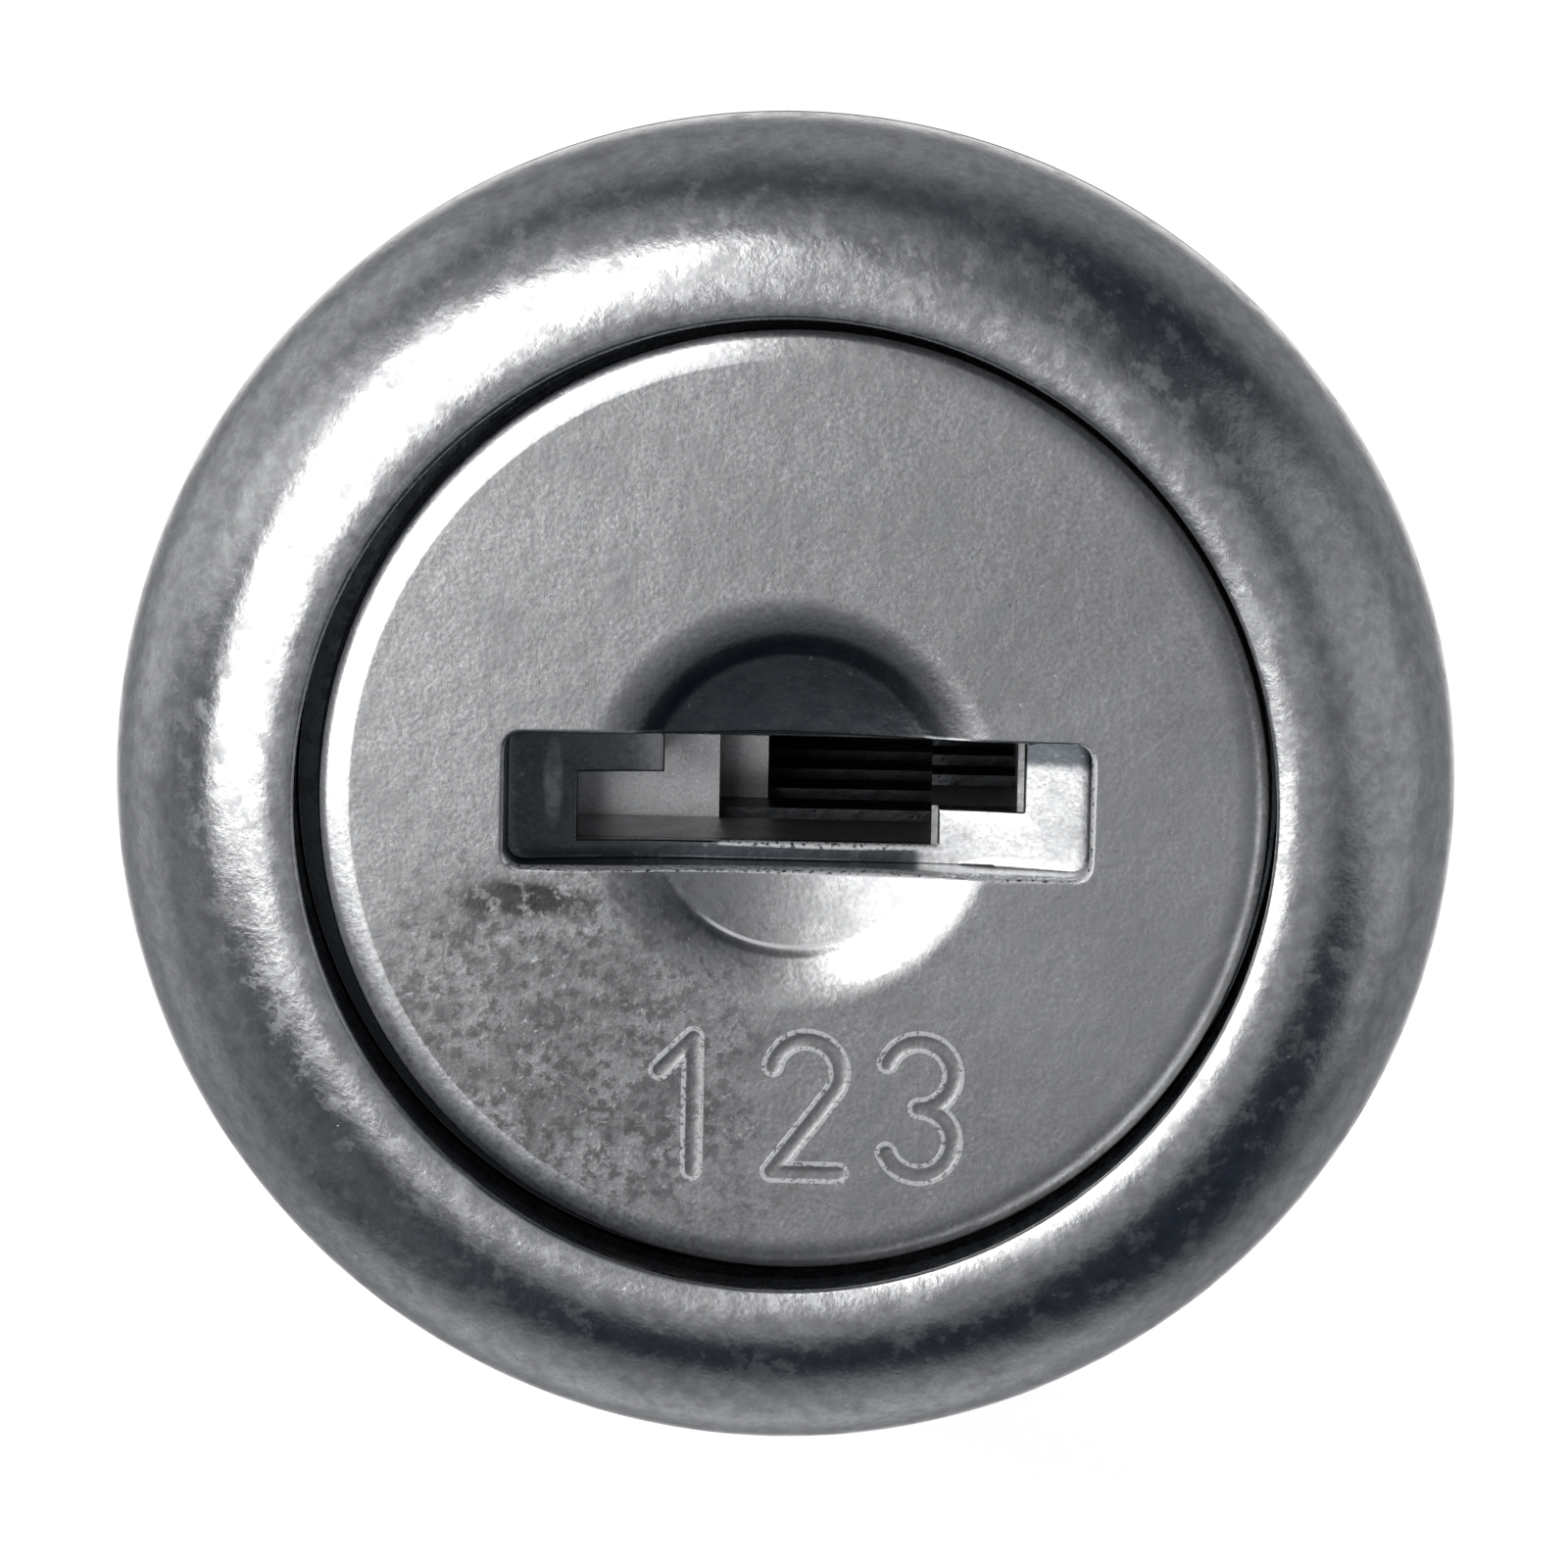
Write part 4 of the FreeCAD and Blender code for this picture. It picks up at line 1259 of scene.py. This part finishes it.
class Metal:
    """Plated metal: its material, and the sockets that a finish can build on before it is joined up."""

    def __init__(self, name, light, dark, roughness, grain=(0.05, 0.5, 4.0), blotch=(1.0, 0.45, 0.65),
                 pits=(0.2, 0.12), scratches=(0.3, 0.6, 0.05), blue=plating_blue):
        self.material = bpy.data.materials.new(name)
        self.material.use_nodes = True
        self.tree = self.material.node_tree
        self.shader = self.tree.nodes["Principled BSDF"]
        self.shader.inputs["Metallic"].default_value = 1.0
        self.light, self.dark = grey(light, blue), grey(dark, blue)
        self.depth = grain[2]
        self.grain = self.group(grain_group, Size=grain[0], Wave=grain[1])
        self.stain = self.group(blotch_group, Size=blotch[0], Low=blotch[1], High=blotch[2])["Mask"]
        self.pit = self.group(pit_group, Size=pits[0], Amount=pits[1])["Mask"]
        size, angle, amount = scratches
        scratch = self.group(scratch_group, Size=size, Angle=angle, Amount=amount)["Mask"]
        hollows = stretched(self.tree, self.grain["Shade"], 0.56, 0.34, smooth=False)
        peaks = stretched(self.tree, self.grain["Shade"], 0.6, 0.74)
        self.tone = mix_colour(self.tree, self.stain, self.light, self.dark)
        self.shade(hollows, 0.5, grey(dark * 0.7, blue))
        self.shade(peaks, 0.5, grey(min(light * 1.5, 0.95), blue))
        self.shade(self.pit, 0.55, grey(dark * 0.4, blue))
        self.shade(scratch, 0.5, grey(min(light * 1.35, 0.95), blue))
        self.rough = maths(self.tree, "MULTIPLY_ADD", self.stain, 0.05, roughness)
        self.height = maths(self.tree, "MULTIPLY_ADD", self.pit, -1.2, self.grain["Height"])

    def group(self, group, **values):
        """Places a group with its own values and returns its outputs."""
        return node(self.tree, "ShaderNodeGroup", values, node_tree=group).outputs

    def shade(self, mask, strength, colour):
        """Lays a colour over the tone where a mask is high."""
        share = maths(self.tree, "MULTIPLY", mask, strength)
        self.tone = mix_colour(self.tree, share, self.tone, colour)

    def painted(self, name):
        """Mask from an attribute on the points, with its border frayed by the grain."""
        share = node(self.tree, "ShaderNodeAttribute", attribute_name=name).outputs["Fac"]
        ragged = maths(self.tree, "MULTIPLY_ADD", self.grain["Shade"], 0.6, share)
        there = maths(self.tree, "GREATER_THAN", share, 0.01)
        return maths(self.tree, "MULTIPLY", stretched(self.tree, ragged, 0.5, 1.15), there)

    def join(self):
        """Links tone, roughness and height to the shader. The grain's depth is in thousandths of a mm."""
        inputs, link = self.shader.inputs, self.tree.links.new
        bump = node(self.tree, "ShaderNodeBump", {"Height": self.height, "Distance": self.depth * 1e-6})
        link(self.tone, inputs["Base Color"])
        link(self.rough, inputs["Roughness"])
        link(bump.outputs["Normal"], inputs["Normal"])
        return self.material


def finish_with(material, *objects):
    """Gives pieces or nodes one material in every slot."""
    for item in objects:
        if not item.material_slots:
            item.data.materials.append(material)
        for slot in item.material_slots:
            slot.material = material


# %% [markdown]
# The bezel is polished before it is plated, so it mirrors the room best. Stains and specks make its tone
# uneven, wisps of duller plating fray the borders of its reflections, a few specks get painted glints, and
# the wall behind the lip gets painted shade.

# %% Finish of the bezel
bezel_metal = Metal(
    "satin_nickel", 0.64, 0.52, 0.21, grain=(0.075, 0.5, 3.0), blotch=(0.9, 0.48, 0.72), pits=(0.3, 0.1),
    scratches=(0.35, 0.5, 0.03),
)
speckle = bezel_metal.group(blotch_group, Size=0.3, Low=0.46, High=0.6)["Mask"]
bezel_metal.shade(speckle, 0.4, grey(0.28))
wisps = bezel_metal.group(blotch_group, Size=0.5, Low=0.5, High=0.62)["Mask"]
bezel_metal.rough = maths(bezel_metal.tree, "MULTIPLY_ADD", wisps, 0.14, bezel_metal.rough)
# Painted glints: a few sparse bright specks
bezel_metal.shade(bezel_metal.group(pit_group, Size=0.7, Amount=0.04)["Mask"], 0.5, grey(0.95))
# Painted shade on the wall behind the lip
bezel_metal.shade(bezel_metal.painted("painted_shade"), 0.97, grey(0.035, shade_blue))
finish_with(bezel_metal.join(), bezel)

# %% [markdown]
# The plug's face is a raw casting under thin plating. Its lower left is the most worn: dark, pitted and
# mottled. Towards the upper left it is smooth. A mask that falls with the distance from a point lets the
# pits and stains gather there. The right of the face is painted a little lighter. The strokes of the
# figures get a thin painted highlight on both sides, over a slight raised ridge in the bump, and painted
# shade on their floor, both drawn from the distance on the points.

# %% Finish of the plug's face


def make_distance_group():
    """Distance in millimetres from a point in the lock's front. Flat above 1 counts the height more."""
    inputs = {"Right": 0.0, "Up": 0.0, "Flat": 1.0}
    group, start, end, place = new_group("distance_from", inputs, ["Distance"])
    parts = node(group, "ShaderNodeSeparateXYZ", {0: place}).outputs
    across = maths(group, "SUBTRACT", parts["X"], start["Right"])
    upward = maths(group, "MULTIPLY", maths(group, "SUBTRACT", parts["Z"], start["Up"]), start["Flat"])
    square = maths(group, "MULTIPLY_ADD", across, across, maths(group, "MULTIPLY", upward, upward))
    group.links.new(maths(group, "SQRT", square), end["Distance"])
    return group


distance_group = make_distance_group()

face_metal = Metal(
    "cast_nickel", 0.45, 0.39, 0.26, grain=(0.08, 0.45, 2.5), blotch=(1.1, 0.45, 0.7), pits=(0.22, 0.1),
    scratches=(0.3, 0.75, 0.05),
)
tree = face_metal.tree


def near(right, up, reach, fray=0.9, flat=1.0):
    """Mask round a point of the face: full inside and fading, with frayed borders, towards its reach."""
    distance = face_metal.group(distance_group, Right=right, Up=up, Flat=flat)["Distance"]
    share = maths(tree, "DIVIDE", distance, reach)
    place = face_metal.group(blotch_group, Size=0.9, Low=0.0, High=1.0)["Mask"]
    return stretched(tree, maths(tree, "MULTIPLY_ADD", place, fray, share), 1.0 + fray / 2, 0.45 + fray / 2)


def mottled(size, low, high):
    """Mask of stains of a size."""
    return face_metal.group(blotch_group, Size=size, Low=low, High=high)["Mask"]


def both(first, second):
    """Where both masks are high."""
    return maths(tree, "MULTIPLY", first, second)


def line_at(value, middle, half, blur):
    """Mask of a thin line where a value is near its middle."""
    off = maths(tree, "ABSOLUTE", maths(tree, "SUBTRACT", value, middle))
    return stretched(tree, off, half + blur, half)


worn = near(-4.0, -4.6, 4.6)
face_metal.shade(both(worn, mottled(0.8, 0.42, 0.56)), 0.6, grey(0.19))
face_metal.shade(both(worn, mottled(0.2, 0.48, 0.58)), 0.7, grey(0.13))
face_metal.shade(both(worn, mottled(0.17, 0.42, 0.34)), 0.5, grey(0.9))
face_metal.shade(both(near(-4.4, -1.68, 1.5, 0.6, 3.4), mottled(0.22, 0.38, 0.5)), 0.9, grey(0.05))
# Painted light: the right of the face is made lighter
face_metal.shade(near(5.2, -1.5, 5.0), 0.35, grey(0.6))
face_metal.shade(both(near(2.5, 2.6, 3.2), mottled(0.16, 0.4, 0.3)), 0.6, grey(0.95))
face_metal.shade(mottled(2.2, 0.4, 0.65), 0.25, grey(0.28))

# Painted shade in the mouth, the dish and the gap round the face, uneven within
shade_mask = face_metal.painted("painted_shade")
face_metal.shade(shade_mask, 0.95, grey(0.07, shade_blue))
# Painted highlight: a thin upright streak on the left of the mouth's floor
face_metal.shade(both(shade_mask, near(-3.95, 0.1, 0.2, 0.3, 0.22)), 0.8, grey(0.4))
face_metal.shade(both(shade_mask, mottled(0.35, 0.44, 0.6)), 0.7, grey(0.12, 0.2))
face_metal.shade(both(shade_mask, mottled(0.14, 0.38, 0.3)), 0.5, grey(0.4))
# Painted highlights on the dish's step, the right of the mouth's floor and the upper left of the bevel
face_metal.shade(face_metal.painted("painted_light"), 0.95, grey(0.78))

# Painted highlights beside the strokes, on the slot's and mouth's lower edges and on an arc in the dish
stroke = node(tree, "ShaderNodeAttribute", attribute_name="stroke").outputs["Fac"]
broken = stretched(tree, face_metal.grain["Shade"], 0.36, 0.5)
from_middle = face_metal.group(distance_group, Right=0.0, Up=0.0)["Distance"]
lower_dish_arc = near(-0.5, -2.4, 1.3, 0.0)
stroke_burr_and_glint = both(line_at(stroke, figure_stroke / 2, 0.024, 0.024), broken)
edge_glint_line = both(face_metal.painted("edge_glint"), broken)
dish_line = both(line_at(from_middle, 2.4, 0.015, 0.025), lower_dish_arc)
bright = maths(tree, "MAXIMUM", maths(tree, "MAXIMUM", stroke_burr_and_glint, edge_glint_line), dish_line)
# Painted shade on the strokes' floor and on a thin arc in the lower dish
face_metal.shade(line_at(stroke, 0.0, 0.06, 0.06), 0.4, grey(0.22))
face_metal.shade(both(line_at(from_middle, 2.52, 0.03, 0.06), lower_dish_arc), 0.6, grey(0.1))
face_metal.shade(bright, 0.95, grey(0.95))
face_metal.rough = maths(tree, "MULTIPLY_ADD", bright, 0.35, face_metal.rough)
face_metal.height = maths(tree, "MULTIPLY_ADD", stroke_burr_and_glint, 0.9, face_metal.height)
tree.links.new(maths(tree, "MULTIPLY_ADD", bright, -0.7, 1.0), face_metal.shader.inputs["Metallic"])
finish_with(face_metal.join(), plug_face)

# %% [markdown]
# The parts behind the panel are seen less, but each has its own treatment: the castings stay dull, the
# nut is turned and bright, sheet steel is zinc plated with a bluish cast, and spring wire is drawn
# smooth. Inside the lock little light comes back out, so the core and the wafers get painted shade that
# deepens with their depth behind the face. The lower part of the wafers past the first gets a painted
# shadow, and the front of the barrel's bore gets painted shade.

# %% Finishes behind the panel
rough_cast = Metal("barrel_zinc", 0.62, 0.46, 0.36, (0.06, 0.6, 6.0), (1.8, 0.42, 0.66), (0.25, 0.3))
core_cast = Metal("core_zinc", 0.6, 0.44, 0.38, (0.06, 0.6, 6.0), (1.8, 0.42, 0.66), (0.25, 0.3))
bright_nickel = Metal("nut_nickel", 0.72, 0.6, 0.24, (0.05, 0.3, 2.5), (2.4, 0.45, 0.7), (0.35, 0.08))
zinc_sheet = Metal(
    "zinc_sheet", 0.7, 0.58, 0.3, (0.06, 0.5, 4.0), (2.6, 0.42, 0.66), (0.3, 0.12), blue=sheet_blue,
)
zinc_spring = Metal(
    "washer_zinc", 0.62, 0.5, 0.32, (0.06, 0.4, 4.0), (2.0, 0.42, 0.66), (0.3, 0.1), blue=sheet_blue,
)
zinc_screw = Metal(
    "screw_zinc", 0.7, 0.56, 0.27, (0.05, 0.3, 3.0), (1.8, 0.45, 0.7), (0.3, 0.08), blue=sheet_blue,
)
drawn_wire = Metal("spring_wire", 0.6, 0.48, 0.28, (0.04, 0.2, 1.0), (1.0, 0.45, 0.7), (0.15, 0.05))
stamped = Metal("wafer_nickel", 0.48, 0.4, 0.42, (0.06, 0.4, 2.5), (1.4, 0.45, 0.7), (0.25, 0.12))


def along_axes(metal):
    """The three coordinates of a place on a metal's piece."""
    place = node(metal.tree, "ShaderNodeTexCoord").outputs["Object"]
    return node(metal.tree, "ShaderNodeSeparateXYZ", {0: place}).outputs


def paint_shade_inside(metal, near, far, amount):
    """Paints shade on a metal between two depths along the axis, where little light reaches inside the lock.
    """
    depth = along_axes(metal)["Y"]
    inside = stretched(metal.tree, depth, near * MM, far * MM)
    behind = stretched(metal.tree, depth, (barrel_end - 1.5) * MM, (barrel_end - 0.5) * MM)
    metal.shade(maths(metal.tree, "SUBTRACT", inside, behind), amount, grey(0.03, shade_blue))


# Painted shade on the core and the wafers, deepening behind the face
paint_shade_inside(core_cast, 0.4, 2.6, 0.93)
paint_shade_inside(stamped, 3.6, 5.0, 0.93)
# Painted shadow on the lower part of the wafers past the first
wafer_place = along_axes(stamped)
shadowed_low_part = stretched(stamped.tree, wafer_place["Z"], -0.1 * MM, -0.7 * MM)
past_first = stretched(stamped.tree, wafer_place["Y"], 2.4 * MM, 2.8 * MM)
stamped.shade(maths(stamped.tree, "MULTIPLY", shadowed_low_part, past_first), 0.6, grey(0.03, shade_blue))
# Painted shade at the front of the barrel's bore, behind the plug's head
rough_cast.shade(rough_cast.painted("painted_shade"), 0.95, grey(0.02, shade_blue))
finish_with(rough_cast.join(), barrel)
finish_with(core_cast.join(), plug_core)
finish_with(bright_nickel.join(), mounting_nut)
finish_with(zinc_sheet.join(), cam, stop_washer)
finish_with(zinc_spring.join(), toothed_washer, split_washer)
finish_with(zinc_screw.join(), cam_screw)
finish_with(drawn_wire.join(), *coils)
wafers = [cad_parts[f"wafer_{n}"] for n in range(1, 7)]
finish_with(stamped.join(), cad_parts["retainer_plate"], *wafers)
print("materials", len(bpy.data.materials))

# %% [markdown]
# ## Floor, light and camera
# The floor is a plain pale sheet that the cam's tip just touches. To the camera a little light of its own
# lifts it to white, and the lock's shadow stays on it. The metal doesn't mirror the sheet itself, because
# the room below stands for it there.

# %% Floor
floor_height = extent("cam")[0][2] - 0.02
floor_half = 6000.0


def make_floor():
    """Large flat sheet under the lock, pale and lit from itself to the camera and dim to all other rays."""
    right, up = np.array([-1, 1, 1, -1]) * floor_half, np.array([-1, -1, 1, 1]) * floor_half
    corners = np.stack([right, up, np.full(4, floor_height)], axis=-1)
    mesh = bpy.data.meshes.new("floor")
    mesh.from_pydata((corners * MM).tolist(), [], [[0, 1, 2, 3]])
    sheet = bpy.data.objects.new("floor", mesh)
    bpy.context.scene.collection.objects.link(sheet)
    material = bpy.data.materials.new("pale_floor")
    material.use_nodes = True
    tree = material.node_tree
    tree.nodes.clear()
    path = node(tree, "ShaderNodeLightPath")
    pale = node(tree, "ShaderNodeBsdfDiffuse", {"Color": (0.7, 0.7, 0.7, 1.0)})
    glow = node(tree, "ShaderNodeEmission", {"Color": (1.0, 1.0, 1.0, 1.0), "Strength": 0.85})
    lifted = node(tree, "ShaderNodeAddShader", {0: pale.outputs[0], 1: glow.outputs[0]})
    dim = node(tree, "ShaderNodeEmission", {"Color": (1.0, 1.0, 1.0, 1.0), "Strength": 0.12})
    chosen = node(tree, "ShaderNodeMixShader", {
        0: path.outputs["Is Camera Ray"], 1: dim.outputs[0], 2: lifted.outputs[0],
    })
    node(tree, "ShaderNodeOutputMaterial", {"Surface": chosen.outputs[0]})
    mesh.materials.append(material)
    sheet.visible_glossy = False
    return sheet


make_floor()
print("floor at", round(floor_height, 2), "mm")

# %% [markdown]
# Bare metal looks like what it mirrors, so most of what shows on the bezel and the face is the room in
# front of them. Real walls would have to be built and lit. A world whose level depends on the direction
# is simpler: a dark room, with a pale spot wherever the bezel's bands tell of a wall, a window or the
# table. The camera sees the world as plain white. So does the metal straight behind the lock, where the
# backdrop stands. The darkest places have a bluish cast in the picture, and so has the dark of the room.

# %% Room
# Each wall: how far it lies to the right of and above straight out of the face, in degrees, where it
# starts to fade, where it ends, and its level. A level below 0 takes light away
walls = [
    ((2, -8), 6, 32, 0.36), ((64, -5), 12, 44, 0.42), ((-85, -15), 16, 44, 0.19),
    ((0, 34), 8, 32, 0.18), ((-90, 40), 10, 40, 0.27), ((-8, -95), 20, 42, 0.24),
    ((0, 180), 60, 110, 0.28), ((38, -35), 10, 27, -0.35), ((-20, 72), 26, 56, 0.08),
    ((-42, -34), 6, 28, 0.13), ((-60, 25), 4, 20, 0.7), ((-32, 48), 6, 22, 0.24),
]
room_level = 0.025
room_tint = (-0.002, 0.004, 0.018)
backdrop_near, backdrop_far = 14, 34


def aside(right, up):
    """Unit vector that lies so many degrees to the right of and above straight out of the lock's face."""
    tilt = math.radians(math.hypot(right, up))
    turn = math.atan2(up, right)
    return np.array([math.sin(tilt) * math.cos(turn), -math.cos(tilt), math.sin(tilt) * math.sin(turn)])


def spot(tree, direction, middle, near, far, level=1.0):
    """Soft round spot of the world: full within the near angle of its middle, nothing past the far one.

    Both are read from the cosine between the direction looked in and that of the spot's middle.
    """
    toward = node(tree, "ShaderNodeVectorMath", {0: direction, 1: aside(*middle)}, operation="DOT_PRODUCT")
    return node(tree, "ShaderNodeMapRange", {
        "Value": toward.outputs["Value"], "From Min": math.cos(math.radians(far)),
        "From Max": math.cos(math.radians(near)), "To Max": level,
    }, interpolation_type="SMOOTHSTEP").outputs["Result"]


def make_room():
    """World that is white to the camera, and a dim room with a few pale walls to the metal."""
    world = bpy.data.worlds.new("room")
    bpy.context.scene.world = world
    world.use_nodes = True
    tree = world.node_tree
    tree.nodes.clear()
    direction = node(tree, "ShaderNodeTexCoord").outputs["Generated"]
    total = 0.0
    for middle, near, far, level in walls:
        total = maths(tree, "ADD", total, spot(tree, direction, middle, near, far, level))
    total = maths(tree, "MAXIMUM", total, room_level)
    tinted = node(tree, "ShaderNodeVectorMath", {0: total, 1: room_tint}, operation="ADD").outputs[0]
    path = node(tree, "ShaderNodeLightPath").outputs
    backdrop = spot(tree, direction, (0, 180), backdrop_near, backdrop_far)
    mirrored = maths(tree, "MAXIMUM", path["Is Glossy Ray"], path["Is Transmission Ray"])
    white = maths(tree, "MAXIMUM", path["Is Camera Ray"], maths(tree, "MULTIPLY", mirrored, backdrop))
    shown = mix_colour(tree, white, tinted, (1.0, 1.0, 1.0, 1.0))
    light = node(tree, "ShaderNodeBackground", {"Color": shown, "Strength": 1.0})
    node(tree, "ShaderNodeOutputWorld", {"Surface": light.outputs[0]})


make_room()
print(len(walls), "walls")

# %% [markdown]
# One large soft box at the upper left gives the bezel its bright band and the face its light. It doesn't
# reach the parts behind the panel, so four weaker ones stand behind the lock. Light linking keeps these
# to the parts in the back, as a flag keeps a studio lamp off the rest, because the front's reflections
# are the picture's. A lamp's power is worked out from how bright its surface is to look.

# %% Soft boxes
box_distance = 300.0


def soft_box(name, direction, width, height, level, only_for=None):
    """Rectangular lamp that faces the lock, and may be kept to a collection of pieces.

    A flat lamp that gives off light evenly has a power of pi times its area times its level.
    """
    lamp = bpy.data.lights.new(name, "AREA")
    lamp.shape = "RECTANGLE"
    lamp.size, lamp.size_y = width * MM, height * MM
    lamp.energy = level * math.pi * lamp.size * lamp.size_y
    box = bpy.data.objects.new(name, lamp)
    bpy.context.scene.collection.objects.link(box)
    box.location = aside(*direction) * box_distance * MM
    box.rotation_mode = "QUATERNION"
    box.rotation_quaternion = box.location.to_track_quat("Z", "Y")
    box.visible_camera = False
    if only_for is not None:
        box.light_linking.receiver_collection = only_for
    print(name, "power", round(lamp.energy, 3), "W")
    return box


soft_box("window_left", (-25, 11), 212.0, 244.0, 2.8)

behind_panel = bpy.data.collections.new("behind_panel")
clamp = [mounting_nut, toothed_washer]
cam_end = [stop_washer, cam, split_washer, cam_screw]
for item in [*coils, barrel, plug_core, *clamp, *cam_end]:
    behind_panel.objects.link(item)
soft_box("rear_left", (-118, 30), 260.0, 200.0, 1.3, behind_panel)
soft_box("rear_right", (122, 20), 220.0, 260.0, 1.0, behind_panel)
soft_box("rear_top", (0, 120), 260.0, 200.0, 0.9, behind_panel)
soft_box("rear_low", (40, -150), 240.0, 180.0, 0.6, behind_panel)

# %% [markdown]
# The camera stands where the photographer did: a little above the axis and almost in front, so that the
# lower wall of the mouth shows and the plug's face sits low in the bezel. The lens follows from the
# distance and from how many pixels of the 1600 the bezel takes up.

# %% Camera
picture_width = 1600.0
pixels_per_mm = 62.0
camera_distance = 130.0
camera_azimuth = 1.0
camera_elevation = 9.3
camera_roll = -1.1
rim_centre = (800.7, 796.6)


def make_camera():
    """Camera at the photographer's place, aimed so that the bezel's rim lies where the picture has it."""
    data = bpy.data.cameras.new("camera")
    camera = bpy.data.objects.new("camera", data)
    bpy.context.scene.collection.objects.link(camera)
    turn, rise = math.radians(camera_azimuth), math.radians(camera_elevation)
    back = np.array([math.sin(turn) * math.cos(rise), -math.cos(turn) * math.cos(rise), math.sin(rise)])
    right = np.array([math.cos(turn), math.sin(turn), 0.0])
    up = np.cross(right, -back)
    cosine, sine = math.cos(math.radians(camera_roll)), math.sin(math.radians(camera_roll))
    right, up = right * cosine - up * sine, up * cosine + right * sine
    aim = bezel_shift + np.array([0.0, -rim_edge, 0.0])
    aim = aim - right * (rim_centre[0] - picture_width / 2) / pixels_per_mm
    aim = aim + up * (rim_centre[1] - picture_width / 2) / pixels_per_mm
    place = (aim + back * camera_distance) * MM
    placed = np.stack([right, up, back, place], axis=-1)
    camera.matrix_world = Matrix(np.vstack([placed, [0, 0, 0, 1]]).tolist())
    data.lens = data.sensor_width * camera_distance / (picture_width / pixels_per_mm)
    data.clip_start, data.clip_end = 0.01, 20.0
    bpy.context.scene.camera = camera
    return camera


camera = make_camera()
bpy.context.scene.view_settings.view_transform = "Standard"
print("lens", round(camera.data.lens, 1), "mm")
